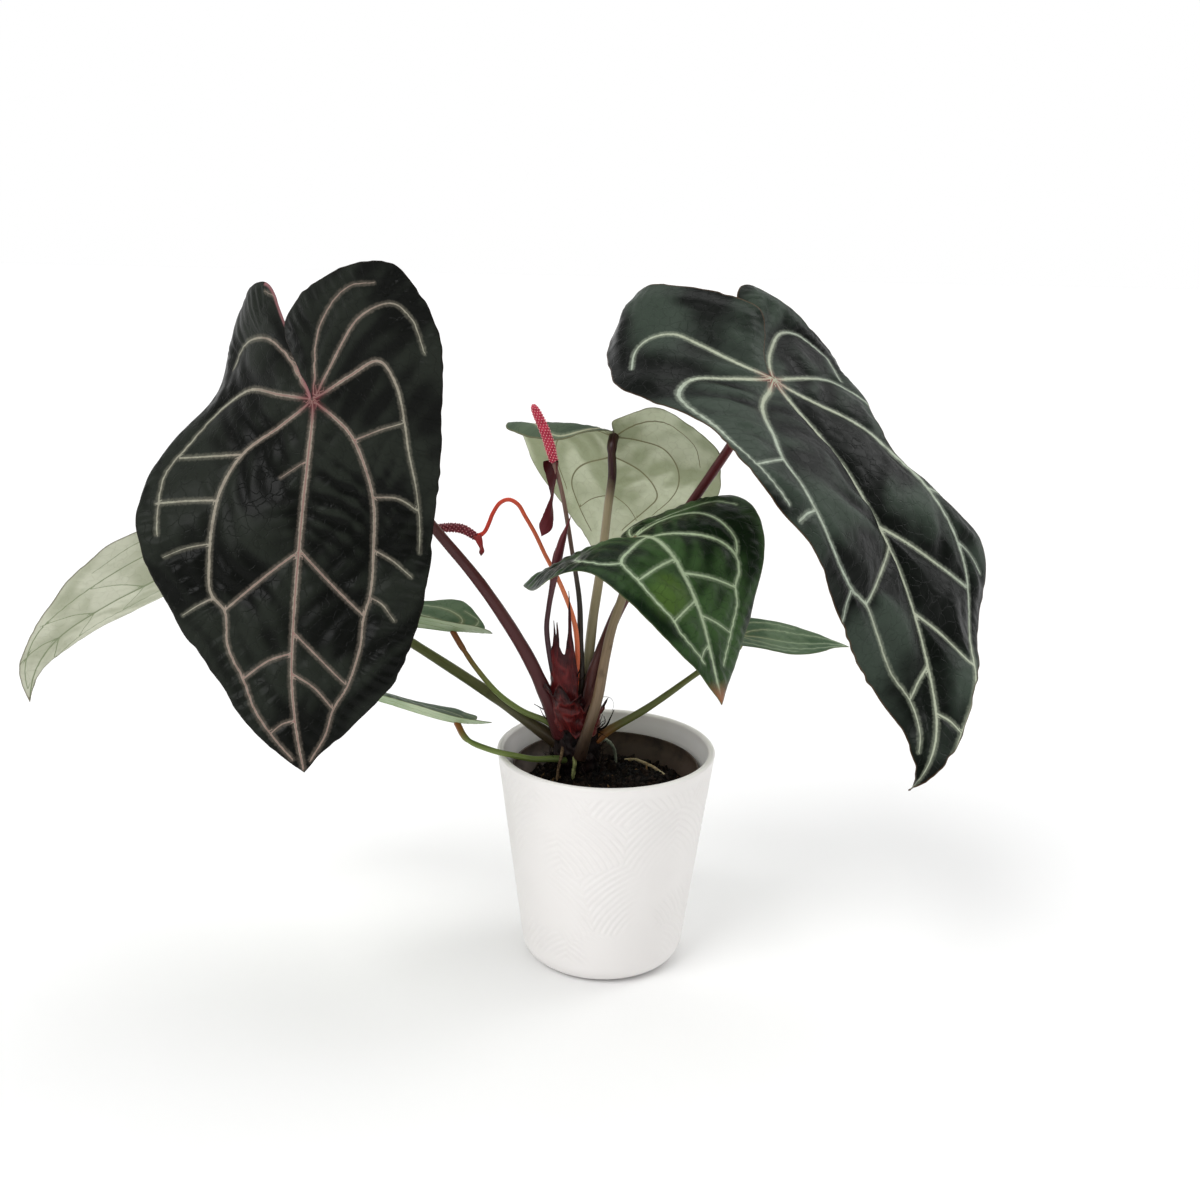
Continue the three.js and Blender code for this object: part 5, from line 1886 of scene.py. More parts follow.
def scatter_tree() -> bpy.types.NodeTree:
    """Angular crumbs strewn over a surface, turned and stretched at random.

    Returns:
        The geometry tree.
    """
    g, given = geometry_tree("crumb_scatter", [
        ("Density", "NodeSocketFloat"), ("Crumb Size", "NodeSocketFloat"), ("Stretch", "NodeSocketFloat"),
        ("Seed", "NodeSocketInt"), ("Finish", "NodeSocketMaterial")])
    value = given.outputs
    strewn = g.add("GeometryNodeDistributePointsOnFaces", {
        "Mesh": value["Geometry"], "Density": value["Density"], "Seed": value["Seed"]}).outputs["Points"]
    crumb = g.add("GeometryNodeMeshIcoSphere", {"Radius": 1.0, "Subdivisions": 1}).outputs["Mesh"]
    most = (6.28, 6.28, 6.28)
    turn = g.add("FunctionNodeRandomValue", {"Min": (0, 0, 0), "Max": most, "Seed": value["Seed"]},
                 data_type="FLOAT_VECTOR").outputs[0]
    long_way = g.add("FunctionNodeRandomValue", {2: 0.4, 3: value["Stretch"], "Seed": value["Seed"]},
                     data_type="FLOAT").outputs[1]
    flat_way = g.add("FunctionNodeRandomValue", {2: 0.35, 3: 0.9, "Seed": 5}, data_type="FLOAT").outputs[1]
    whole = g.add("FunctionNodeRandomValue", {2: 0.5, 3: 1.3, "Seed": 9}, data_type="FLOAT").outputs[1]
    shape = g.add("ShaderNodeCombineXYZ", {0: long_way, 1: 0.8, 2: flat_way}).outputs[0]
    size = g.add("ShaderNodeMath", {0: value["Crumb Size"], 1: whole}, operation="MULTIPLY").outputs[0]
    scale = g.add("ShaderNodeVectorMath", {0: shape, "Scale": size}, operation="SCALE").outputs[0]
    copies = g.add("GeometryNodeInstanceOnPoints", {"Points": strewn, "Instance": crumb, "Rotation": turn,
                                                    "Scale": scale}).outputs["Instances"]
    real = g.add("GeometryNodeRealizeInstances", {"Geometry": copies}).outputs["Geometry"]
    dressed = g.add("GeometryNodeSetMaterial", {"Geometry": real, "Material": value["Finish"]}).outputs[0]
    g.add("NodeGroupOutput", {"Geometry": dressed})
    return g.tree


def flower_spikes() -> list[FlowerSpike]:
    """The upright spike and the arched one.

    Returns:
        The flower spikes.
    """
    stalk = StalkFinish("peduncle_dark", (40, 32, 24), (44, 38, 30), (150, 118, 106), roughness=0.35)
    spathe = Blade(
        join=(-35.6, 5.4, 327.5), length=48, lobes=(0, 0), left=[4.1, 4.3, 4.0, 5.0, 8.4, 0, 0, 0],
        right=[4.1, 4.3, 4.0, 5.0, 8.4, 0, 0, 0], heading=[-14, -20, -30, -52, -66],
        pitch=[-88, -88, -84, -74, -66], roll=[0, 34, 130], fold_left=[26, 14, 4], fold_right=[26, 14, 4],
        curl_left=[75, 46, 8], curl_right=[75, 46, 8], midrib=(0.4, 0.2), spacing=0.5,
        thickness=SHEATH_THICKNESS, quilting=0.1, pillows=0.0, ripple=0.5, feather=0.0, ribs=0.0,
        waver=(0.3, 5), seed=81)
    upright = FlowerSpike(
        "upright", stalk_course=((-20, 8, 165), (-17, 6, 182), (-18, 8, 214), (-19, 9, 237), (-24, 8, 269),
        (-31, 6, 308), (-36, 4, 327)), stalk_radii=(2.4, 1.4), stalk_finish=stalk,
        spike_course=((-36, 4, 327), (-41, 3, 344), (-49, 1, 362)), spike_radius=3.3, flowers=230,
        flower_size=0.82, flesh=FleshFinish("spadix_pink", (204, 50, 82), (160, 30, 56)),
        stigma=FleshFinish("stigma_pale", (240, 168, 172), (226, 132, 142), roughness=0.35), spathe=spathe,
        spathe_finish=PaperFinish("spathe_maroon", (96, 28, 36), (128, 50, 56), (104, 36, 44),
        roughness=0.4, lining=(58, 12, 16)))
    stalk = StalkFinish(
        "peduncle_coral", (224, 98, 62), (236, 134, 92), (216, 60, 42), roughness=0.34, streak=0.1)
    spathe = Blade(
        join=(-83, -4.1, 281), length=13, lobes=(0, 0), left=[1.2, 2.0, 2.6, 3, 3.4, 0, 0, 0],
        right=[1.2, 2.0, 2.6, 3, 3.4, 0, 0, 0], heading=[30, 30, 50, 60, -60],
        pitch=[-50, -50, -60, -70, -80], roll=[0, 0, 0], fold_left=[25, 15, 0], fold_right=[25, 15, 0],
        curl_left=[0, 0, 0], curl_right=[0, 0, 0], midrib=(0.4, 0.2), spacing=0.5,
        thickness=SHEATH_THICKNESS, quilting=0.1, pillows=0.0, ripple=0.5, feather=0.0, ribs=0.0,
        waver=(0.2, 5), seed=83)
    arched = FlowerSpike(
        "arched", stalk_course=((-23, 3, 165), (-20, 1, 187), (-21, 2, 221), (-30, 4, 247), (-41, 3, 269),
        (-47, 2, 282), (-53, 0, 293), (-57.7, -1, 301), (-63, -2, 304), (-68.3, -2, 302), (-73, -2, 295),
        (-75.3, -2, 289), (-78.3, -2, 283), (-83, -2, 280)), stalk_radii=(1.8, 1.3), stalk_finish=stalk,
        spike_course=((-83, -2, 280), (-92, -2, 285), (-106, -2, 285), (-118, -2, 281)), spike_radius=3.0,
        flowers=200, flower_size=0.78, flesh=FleshFinish("spadix_wine", (124, 22, 40), (84, 12, 26)),
        stigma=FleshFinish("stigma_rose", (214, 140, 146), (190, 104, 114), roughness=0.35), spathe=spathe,
        spathe_finish=PaperFinish("spathe_wine", (150, 44, 48), (190, 84, 78), (90, 34, 34), roughness=0.4))
    return [upright, arched]


@dataclass
class TornWrap:
    """A papery sheath wrapped part of the way round a leaning axis, torn along its top and its hem.

    turns run round the axis in degrees, and -90 faces the viewer. top and hem are heights above the foot
    at even steps from the first turn to the last, as (share of the way round, height).
    """

    foot: Place
    head: Place
    radii: tuple[float, float]
    turns: tuple[float, float]
    top: Sequence[tuple[float, float]]
    hem: Sequence[tuple[float, float]]
    finish: PaperFinish
    crumple: float = 1.2
    flare: float = 2.0
    thickness: float = 0.5
    seed: int = 91
    column_step: float = 0.7
    row_step: float = 0.8

    def build(self, name: str, node: str | None = None) -> None:
        """Makes the wrap as a thin closed sheet.

        Args:
            name: The piece's name.
            node: The CAD node that it stands for, if any.
        """
        foot, head = np.array(self.foot, float), np.array(self.head, float)
        rise = head[2] - foot[2]
        span = math.radians(self.turns[1] - self.turns[0])
        columns = int(span * max(self.radii) / self.column_step)
        across = np.linspace(0, 1, columns)
        low, high = (np.interp(across, *np.array(edge, float).T) for edge in (self.hem, self.top))
        rows = int((high.max() - low.min()) / self.row_step)
        share, way = (g.ravel() for g in np.meshgrid(np.linspace(0, 1, rows), across, indexing="ij"))
        fray = lattice_noise(np.column_stack([way * columns, np.zeros(len(way))]), 3.0, self.seed + 5)
        height = np.tile(low, rows) + (np.tile(high - low, rows) + 1.2 * fray * share) * share
        turn = math.radians(self.turns[0]) + span * way
        axis = foot + (height / rise)[:, None] * (head - foot)
        radius = hermite([0, 0.5, 1], [self.radii[0], sum(self.radii) / 2, self.radii[1]], height / rise)
        out = np.column_stack([np.cos(turn), np.sin(turn), np.zeros(len(turn))])
        still = axis + out * radius[:, None]
        slant = still @ np.array([[1, 0.35, 0.3], [0, 1, 0.4], [0.5, -0.3, 0.8]])
        creases = 1 - 2 * np.abs(lattice_noise(slant, 6.0, self.seed))
        fine = 1 - 2 * np.abs(lattice_noise(slant * (1, 1, 0.6), 2.6, self.seed + 1))
        buckle = self.crumple * (0.7 * creases + 0.35 * fine + lattice_noise(still, 12.0, self.seed + 2))
        curled = self.flare * (np.exp(-(((1 - share) / 0.12) ** 2)) + 0.3 * np.exp(-((share / 0.1) ** 2)))
        outer = still + out * (buckle + curled)[:, None]
        outer[:, 2] += 0.5 * self.crumple * fine
        inner = outer - out * self.thickness
        count = len(outer)
        sheet = grid_faces(rows, columns, closed=False)
        faces = [*sheet, *[tuple(v + count for v in quad[::-1]) for quad in sheet]]
        faces += [(b, a, a + count, b + count) for a, b in open_edges(np.array(sheet))]
        place = np.column_stack([height, way * columns * self.column_step, np.zeros(count)])
        # The crumple measure runs from 1 in a hollow to 2 on a ridge, for painted shade and painted
        # highlight.
        measures = {"leaf_place": np.vstack([place, place + (0, 0, 9)]), "toward_tip": np.tile(share, 2),
                    "crumple_shading": np.tile(1.5 + 0.5 * creases, 2)}
        piece = make_object(name, np.vstack([outer, inner]), faces, measures)
        finish_piece(piece, self.finish.material(), [node] if node else [])


@dataclass
class Root:
    """A root that shows at the top of the mix."""

    number: int
    course: Sequence[Place]
    size: float
    dark: Colour
    light: Colour

    def radius(self, f: Points, a: Points) -> Points:
        """The root's radius, knobbly and thinner towards its end.

        Args:
            f: Fraction of the length, from the stem.
            a: Turn round the middle line.

        Returns:
            The radius at each.
        """
        knobs = lattice_noise(np.column_stack([f.ravel() * 30, np.cos(a).ravel() * 2]), 1.6, self.number)
        rough = 1 + 0.16 * knobs.reshape(f.shape)
        return self.size * (1 - 0.35 * f) * rough * np.minimum(1, (1.03 - f) * 12)

    def build(self) -> None:
        """Makes the root."""
        piece = sweep(f"root_rough_{self.number}", course_points(self.course, 0.7), self.radius, 16)
        finish = CrustFinish(f"root_skin_{self.number}", self.dark, self.light, 260.0, 0.8, 0.12)
        finish_piece(piece, finish.material(), [f"root_{self.number}"])


@dataclass
class Crown:
    """The short stem with its sheaths, fibres and roots."""

    centre: tuple[float, float] = (-19, 5)
    bottom: float = 98
    top: float = 172
    profile: Sequence[Flat] = ((9, 98), (12, 110), (13, 126), (14.5, 138), (12.5, 152), (9.5, 164), (4, 171))
    cad_sheaths: int = 4
    fibres: int = 210
    fibre_ring: float = 13.2
    skirt: float = 5.0
    skirt_top: float = 144
    skirt_drop: float = 22
    bark: CrustFinish = field(default_factory=lambda: CrustFinish(
        "stem_fibrous", (7, 5, 5), (28, 14, 13), 120.0, 0.8, 0.5, (1, 1, 0.25)))

    def build_stem(self) -> None:
        """Makes the stem, ringed and fluted where leaf bases sat."""
        knots = list(range(len(self.profile) + 1))
        steps = np.linspace(1, len(self.profile), 90)
        radii = hermite(knots, [0.0, *[r for r, _ in self.profile]], steps)
        heights = hermite(knots, [self.bottom, *[z for _, z in self.profile]], steps)
        profile = [(0, self.bottom), *zip(radii, heights), (0, self.top)]
        points, faces = turn_profile(profile, 96, self.centre)
        out = points - [*self.centre, 0.0]
        out[:, 2] = 0
        reach = np.maximum(np.linalg.norm(out, axis=1), 1e-6)
        turn = np.arctan2(out[:, 1], out[:, 0])
        rings = np.sin(points[:, 2] * 0.9 + 1.5 * np.sin(turn * 2)) * 0.5
        flutes = np.sin(turn * 9 + points[:, 2] * 0.12) * 0.5
        lumps = lattice_noise(points, 5.0, 7) * 1.1 + lattice_noise(points, 1.8, 8) * 0.4
        moved = points + out / reach[:, None] * ((rings + flutes + lumps) * np.minimum(1, reach / 6))[:, None]
        piece = make_object("stem_body", moved, faces)
        finish_piece(piece, self.bark.material(), ["stem"])

    def build_sheaths(self) -> None:
        """Makes the torn sheaths round the stem and at the feet of the large leaves' stalks."""
        red = PaperFinish("sheath_red", (58, 13, 16), (114, 38, 35), (18, 7, 8), 0.36)
        wine = PaperFinish("sheath_wine", (74, 17, 22), (118, 36, 36), (40, 11, 16), 0.4)
        brown = PaperFinish("sheath_brown", (94, 54, 48), (126, 88, 76), (74, 36, 34), 0.5)
        dark = PaperFinish("sheath_dark", (17, 9, 9), (38, 18, 16), (9, 6, 6), 0.6)
        wraps = [
            TornWrap((-21.5, -4, 156), (-24.5, -5, 186), (10.0, 15.8), (-208, -46),
                     [(0, 22), (0.12, 30), (0.25, 24), (0.4, 34), (0.5, 27), (0.62, 37), (0.75, 24),
                      (0.9, 30), (1, 20)],
                     [(0, 6), (0.15, 2), (0.3, 5), (0.45, 0), (0.6, 3), (0.8, -1), (1, 4)],
                     red, crumple=1.7, flare=1.4),
            TornWrap((-27.5, -2, 172), (-29.4, -3, 232), (9.2, 5.0), (-196, 10),
                     [(0, 18), (0.06, 38), (0.16, 36), (0.24, 56), (0.3, 42), (0.36, 58), (0.43, 40),
                      (0.56, 36), (0.66, 46), (0.72, 62), (0.755, 80), (0.8, 48), (0.9, 24), (1, 14)],
                     [(0, 0), (0.5, -4), (1, 2)], wine, crumple=0.9, flare=0.6, seed=131),
            TornWrap((-24, 8, 152), (-25, 11, 196), (13.2, 8.0), (20, 165),
                     [(0, 26), (0.2, 40), (0.35, 30), (0.55, 52), (0.7, 34), (0.85, 42), (1, 24)],
                     [(0, 0), (0.5, 3), (1, -2)], red, crumple=1.5, flare=1.6, seed=151),
            TornWrap((-15, 3, 151), (-6, 8, 206), (9.8, 4.6), (-110, 60),
                     [(0, 22), (0.15, 34), (0.32, 52), (0.5, 74), (0.62, 60), (0.8, 40), (1, 18)],
                     [(0, 4), (0.3, 0), (0.7, 2), (1, -2)], brown, crumple=0.7, flare=0.5, seed=171),
            TornWrap((-15.5, -3, 155), (-11.5, -3, 184), (8.6, 12.0), (-138, 8),
                     [(0, 12), (0.15, 25), (0.3, 15), (0.45, 27), (0.6, 17), (0.8, 24), (1, 12)],
                     [(0, 2), (0.2, -3), (0.4, 2), (0.7, -2), (1, 3)], red, crumple=1.7, flare=1.4, seed=191),
            TornWrap((-19.5, 4.5, 137), (-20.5, 3, 168), (13.0, 10.6), (-230, 20),
                     [(0, 16), (0.1, 26), (0.2, 18), (0.33, 29), (0.45, 20), (0.6, 28), (0.75, 17),
                      (0.88, 26), (1, 14)],
                     [(0, 0), (0.2, 4), (0.35, -3), (0.5, 3), (0.7, -2), (0.85, 3), (1, 0)],
                     dark, crumple=1.6, flare=1.2, seed=211),
        ]
        for k, wrap in enumerate(wraps, 1):
            wrap.build(f"sheath_paper_{k}", f"sheath_{k}" if k <= self.cad_sheaths else None)

    def build_fibres(self) -> None:
        """Makes the dry fibres round the stem and the few long wisps that stand off it."""
        rng = np.random.default_rng(29)
        lines = []
        for _ in range(self.fibres):
            turn = rng.uniform(0, FULL_TURN)
            out = np.array([math.cos(turn), math.sin(turn), 0])
            height = rng.uniform(120, 156)
            spread = self.fibre_ring + self.skirt * max(0.0, (self.skirt_top - height) / self.skirt_drop)
            foot = np.array([*self.centre, height]) + out * spread
            length = rng.uniform(8, 20)
            steps = np.linspace(0, 1, 9)[:, None]
            bend = np.array([*rng.uniform(-4, 4, 2), 0.0])
            lift = np.array([0, 0, rng.uniform(-0.6, 0.9)])
            line = foot + (out * 0.22 + lift) * steps * length + bend * steps**2
            lines.append((line, rng.uniform(0.2, 0.5)))
        wisps = [
            (((-34, -3, 158), (-37.5, -5, 167), (-42, -5, 170), (-46.4, -5, 172.6)), 0.8),
            (((-36, -3, 160), (-40, -6, 165), (-43, -6, 171)), 0.5),
            (((-8, 0, 152), (-0.4, 0, 157), (2, 0, 162), (4.4, 0, 168)), 0.9),
            (((-7, 1, 153), (-1, -1, 160), (-2, -1, 164)), 0.6),
            (((-6, -8, 178), (-2, -12, 181), (2, -14, 181), (4, -14, 177), (3, -14, 172)), 0.3),
            (((-20, -4, 190), (-17, -6, 199), (-16, -6, 208)), 0.5),
            (((-18, -5, 188), (-14, -7, 194), (-14, -8, 199)), 0.4),
        ]
        lines += [(course_points(knots, 1.2), thick) for knots, thick in wisps]
        vertices, faces, along = [], [], []
        for line, thick in lines:
            _, across, other = travelling_frames(line)
            start, count = len(vertices), len(line)
            share = np.linspace(0, 1, count)
            for p, a, b, r in zip(line, across, other, thick * (1 - 0.7 * share)):
                for corner in range(4):
                    angle = corner * math.pi / 2
                    vertices.append(p + r * (math.cos(angle) * a + math.sin(angle) * b))
            faces += grid_faces(count, 4, closed=True, start=start)
            last = start + 4 * count - 4
            faces += [tuple(range(start + 3, start - 1, -1)), tuple(range(last, last + 4))]
            along += list(np.repeat(share, 4))
        piece = make_object("stem_fibres", np.array(vertices), faces, {"along": np.array(along)})
        fibre = CrustFinish("fibre_brown", (10, 7, 6), (40, 24, 19), 400.0, 0.7, 0.05)
        finish_piece(piece, fibre.material())

    def build_roots(self) -> None:
        """Makes the roots that show at the top of the mix."""
        roots = [
            Root(1, ((-9, 8, 140), (-2, 14, 142), (5, 22, 133), (7, 26, 118)), 1.4,
                 (92, 98, 84), (150, 158, 140)),
            Root(2, ((6, 38, 116), (18, 34, 120), (30, 24, 120), (45, 9, 115)), 1.3,
                 (140, 120, 88), (190, 180, 148)),
            Root(3, ((-20, -6, 142), (-20, -11, 134), (-21, -12, 124.5)), 1.7,
                 (74, 76, 42), (150, 156, 104)),
            Root(4, ((-26, -2, 150), (-28, -9, 142), (-30, -12, 133), (-31, -14, 124)), 1.3,
                 (54, 40, 29), (138, 114, 86)),
        ]
        for root in roots:
            root.build()


@dataclass
class OuterPot:
    """The white outer pot: a straight flaring wall with fans of fine curved grooves."""

    height: float = 143
    rim_radius: float = 70
    foot_radius: float = 51.3
    flat_radius: float = 40
    foot_rise: float = 11
    wall: float = 4.6
    floor: float = 10
    groove_pitch: float = 3.8
    groove_depth: float = 0.42
    fan_width: float = 34
    fan_height: float = 40
    arc_centre: Flat = (1.3, 1.1)
    middle_radius: float = 61
    grooved: tuple[float, float] = (13, 137)
    segments: int = 500
    rows: int = 138

    def outer_at(self, z: Points) -> Points:
        """The outer radius at a height, above the foot."""
        return self.foot_radius + (self.rim_radius - self.foot_radius) * z / self.height

    def profile(self) -> tuple[list[tuple[float, float]], list[float]]:
        """Lays out the turned profile.

        Returns:
            The profile, and for each of its points 1 where it lies inside and 0 elsewhere.
        """
        points = [(0.0, 0.0), (20.0, 0.0), (self.flat_radius, 0.0)]
        start = np.array([self.flat_radius, 0.0])
        end = np.array([self.outer_at(self.foot_rise), self.foot_rise])
        pulls = np.array([[self.flat_radius + 6, 0.0], [end[0] - 1.2, end[1] - 7]])
        for u in np.linspace(0.08, 1, 14):
            p = ((1 - u) ** 3 * start + 3 * (1 - u) ** 2 * u * pulls[0] + 3 * (1 - u) * u**2 * pulls[1]
                 + u**3 * end)
            points.append(tuple(p))
        lip = self.wall / 2
        for z in np.linspace(self.foot_rise, self.height - lip, self.rows)[1:]:
            points.append((self.outer_at(z), z))
        for turn in np.linspace(0, math.pi, 14)[1:]:
            points.append((self.rim_radius - lip + lip * math.cos(turn),
                           self.height - lip + lip * math.sin(turn)))
        inside = [0.0] * len(points)
        for z in np.linspace(self.height - lip - 4, self.floor + 6, 24):
            points.append((self.outer_at(z) - self.wall, z))
        floor_edge = self.outer_at(self.floor) - self.wall
        points += [(floor_edge - 1.2, self.floor + 2), (floor_edge - 4, self.floor), (20.0, self.floor),
                   (0.0, self.floor)]
        inside += [1.0] * (len(points) - len(inside))
        return points, inside

    def grooves(self, turn: Points, z: Points) -> Points:
        """Depth of the grooves.

        Each fan is a patch of arcs about a point of its own, and neighbours meet in chevrons.

        Args:
            turn: Turn round the pot.
            z: Height.

        Returns:
            The depth at each, from 0 to 1.
        """
        columns = round(FULL_TURN * self.middle_radius / self.fan_width)
        u = turn / FULL_TURN * columns
        v = z / self.fan_height
        jitters = 64
        jitter = np.random.default_rng(3).uniform(-0.22, 0.22, (jitters, 2))
        best = np.full(len(u), FAR)
        phase = np.zeros(len(u))
        for row in range(-1, 6):
            for column in range(columns):
                key = (row + 1) * columns + column
                cu = column + 0.5 * (row % 2) + jitter[key % jitters, 0]
                cv = row + 0.5 + jitter[key % jitters, 1]
                du = (u - cu + columns / 2) % columns - columns / 2
                dv = v - cv
                near = du**2 + dv**2
                lean = 1 if (row + column) % 2 else -1
                x = du * self.fan_width - lean * self.fan_width * self.arc_centre[0]
                y = dv * self.fan_height + self.fan_height * self.arc_centre[1]
                arc = np.hypot(x, y) / self.groove_pitch
                closer = near < best
                phase = np.where(closer, arc, phase)
                best = np.minimum(best, near)
        wave = 0.5 + 0.5 * np.cos(FULL_TURN * phase)
        low, high = self.grooved
        band = smooth_step(low, low + 6, z) * (1 - smooth_step(high - 3, high, z))
        place = np.column_stack([self.middle_radius * np.cos(turn), self.middle_radius * np.sin(turn), z])
        fade = smooth_step(-0.35, 0.3, lattice_noise(place, 24.0, 57) + 0.75 * (z / self.height) ** 3)
        return wave**2 * band * (0.06 + 0.94 * fade)

    def build(self) -> None:
        """Makes the pot with its grooves pressed into the outside."""
        profile, inside = self.profile()
        points, faces = turn_profile(profile, self.segments)
        marks = np.concatenate([np.repeat(inside[1:-1], self.segments), [0.0, 1.0]])
        turn = np.arctan2(points[:, 1], points[:, 0]) % FULL_TURN
        groove = self.grooves(turn, points[:, 2]) * (1 - marks)
        reach = np.maximum(np.hypot(points[:, 0], points[:, 1]), 1e-6)
        points[:, :2] -= points[:, :2] / reach[:, None] * (groove * self.groove_depth)[:, None]
        piece = make_object("cover_pot", points, faces, {"inside": marks, "groove": groove})
        # The second colour is the whiter inside, painted light for the inner wall.
        finish = GlazeFinish("satin_white", (239, 236, 234), (252, 250, 249))
        finish_piece(piece, finish.material(), ["outer_pot"])


@dataclass
class PlantPot:
    """The thin brown plant pot inside, with a collar and a beaded lip."""

    base: float = 10.3
    top: float = 130.3
    base_radius: float = 43
    collar_radius: float = 60
    collar_drop: float = 9
    wall: float = 1.3
    hole_radius: float = 4
    hole_ring: float = 27
    hole_count: int = 6

    def build(self) -> None:
        """Turns the pot and cuts its drainage holes."""
        shoulder = self.top - self.collar_drop
        body_top = self.collar_radius - 2.5
        lip = self.wall / 2
        bead = [(self.collar_radius - lip + lip * math.cos(a), self.top - lip + lip * math.sin(a))
                for a in np.linspace(0, math.pi, 7)]
        profile = [
            (0, self.base), (self.base_radius - 1.5, self.base), (self.base_radius, self.base + 1.2),
            (self.base_radius + 7, self.base + 53), (body_top, shoulder),
            (self.collar_radius - 0.4, shoulder + 0.8), (self.collar_radius, shoulder + 1.4), *bead,
            (self.collar_radius - self.wall, shoulder + 1.6),
            (body_top - self.wall, shoulder + 0.4), (self.base_radius - self.wall + 7, self.base + 53),
            (self.base_radius - self.wall, self.base + self.wall), (0, self.base + self.wall)]
        points, faces = turn_profile(profile, 120)
        piece = make_object("nursery_pot", points, faces)
        for k in range(self.hole_count):
            self.drill(piece, FULL_TURN * k / self.hole_count)
        finish = PlasticFinish("plastic_brown", (64, 49, 36), (15, 11, 8))
        finish_piece(piece, finish.material(), ["plant_pot"])

    def drill(self, piece: bpy.types.Object, turn: float) -> None:
        """Cuts one hole through the floor.

        Args:
            piece: The pot.
            turn: Where the hole lies round the pot's axis.
        """
        sides, below, above = 28, self.base - 3, self.base + 5
        angles = np.arange(sides) * FULL_TURN / sides
        x = self.hole_ring * math.cos(turn) + self.hole_radius * np.cos(angles)
        y = self.hole_ring * math.sin(turn) + self.hole_radius * np.sin(angles)
        low, high = (np.column_stack([x, y, np.full(sides, z)]) for z in (below, above))
        faces = grid_faces(2, sides, closed=True)
        faces += [tuple(range(sides - 1, -1, -1)), tuple(range(sides, 2 * sides))]
        drill = make_object("drill", np.vstack([low, high]), faces)
        cut = piece.modifiers.new("hole", "BOOLEAN")
        cut.operation = "DIFFERENCE"
        cut.solver = "EXACT"
        cut.object = drill
        evaluated = piece.evaluated_get(bpy.context.evaluated_depsgraph_get())
        mesh = bpy.data.meshes.new_from_object(evaluated)
        piece.modifiers.remove(cut)
        piece.data = mesh
        bpy.data.objects.remove(drill)


@dataclass
class PottingMix:
    """The dark mix: a lumpy mound with crumbs, bark chips and a few pale bits."""

    floor: float = 12.2
    floor_radius: float = 41.2
    edge: float = 114
    edge_radius: float = 54.8
    middle: float = 122
    heap: float = 7
    heap_at: Flat = (-19, 5)
    heap_reach: float = 16
    crumbs: CrustFinish = field(default_factory=lambda: CrustFinish(
        "mix_crumb", (5, 4, 3), (19, 15, 12), 260.0, 0.75, 0.2))

    def top_at(self, x: Points, y: Points) -> Points:
        """The height of the mound.

        Args:
            x: Places to the right.
            y: Places to the back.

        Returns:
            The height at each.
        """
        r = np.hypot(x, y)
        stations = [0, self.edge_radius - 38, self.edge_radius - 20, self.edge_radius]
        mound = hermite(stations, [self.middle, self.middle, self.middle - 2.5, self.edge], r)
        place = np.column_stack([x, y])
        lumps = 1.1 * lattice_noise(place, 7.0, 41) + 0.6 * lattice_noise(place, 2.6, 42)
        lumps += 0.35 * lattice_noise(place, 1.2, 43)
        from_stem = np.hypot(x - self.heap_at[0], y - self.heap_at[1])
        heap = self.heap * np.exp(-((from_stem / self.heap_reach) ** 2))
        return mound - 0.6 + lumps + heap

    def build(self) -> None:
        """Makes the mound and strews the loose matter over it."""
        radii = np.linspace(0.9, self.edge_radius, 60)[::-1]
        profile = [(0, self.floor), (self.floor_radius, self.floor), (self.edge_radius - 0.6, self.edge - 3),
                   *[(r, 0.0) for r in radii], (0, 0.0)]
        points, faces = turn_profile(profile, 200)
        on_top = points[:, 2] == 0.0
        points[on_top, 2] = self.top_at(points[on_top, 0], points[on_top, 1])
        piece = make_object("potting_mix", points, faces)
        ground = CrustFinish("mix_ground", (5, 4, 3), (17, 13, 11), 200.0, 0.85, 0.4)
        finish_piece(piece, ground.material(), ["soil"])
        chip = CrustFinish("mix_chip", (9, 7, 5), (44, 32, 24), 180.0, 0.8, 0.2)
        straw = CrustFinish("mix_straw", (74, 54, 34), (132, 104, 70), 200.0, 0.8, 0.1)
        kinds = [
            ("mix_crumbs", 260000.0, 1.25, 1.6, 3, self.crumbs),
            ("mix_chips", 60000.0, 2.3, 2.4, 4, chip),
            ("mix_straw", 5000.0, 1.0, 6.0, 6, straw),
        ]
        for kind in kinds:
            self.strew(*kind)

    def strew(self, name: str, density: float, size: float, stretch: float, seed: int,
              finish: CrustFinish) -> None:
        """Strews one kind of loose bit over the mound.

        Args:
            name: The piece's name.
            density: Bits for each square metre.
            size: About half a bit's size, in millimetres.
            stretch: How much longer than wide the longest bits are.
            seed: Picks their places.
            finish: Their finish.
        """
        rings, sides = 24, 64
        turn = np.arange(sides) * FULL_TURN / sides
        radii = np.linspace(3, self.edge_radius - 1.5, rings)
        flat = np.vstack([np.column_stack([r * np.cos(turn), r * np.sin(turn)]) for r in radii])
        bed = np.column_stack([flat, self.top_at(flat[:, 0], flat[:, 1])])
        sheet = make_object(name, bed, grid_faces(rings, sides, closed=True))
        settings = {"Density": density, "Crumb Size": size * MM, "Stretch": stretch, "Seed": seed,
                    "Finish": finish.material()}
        finish_piece(apply_tree(sheet, scatter_tree(), settings))


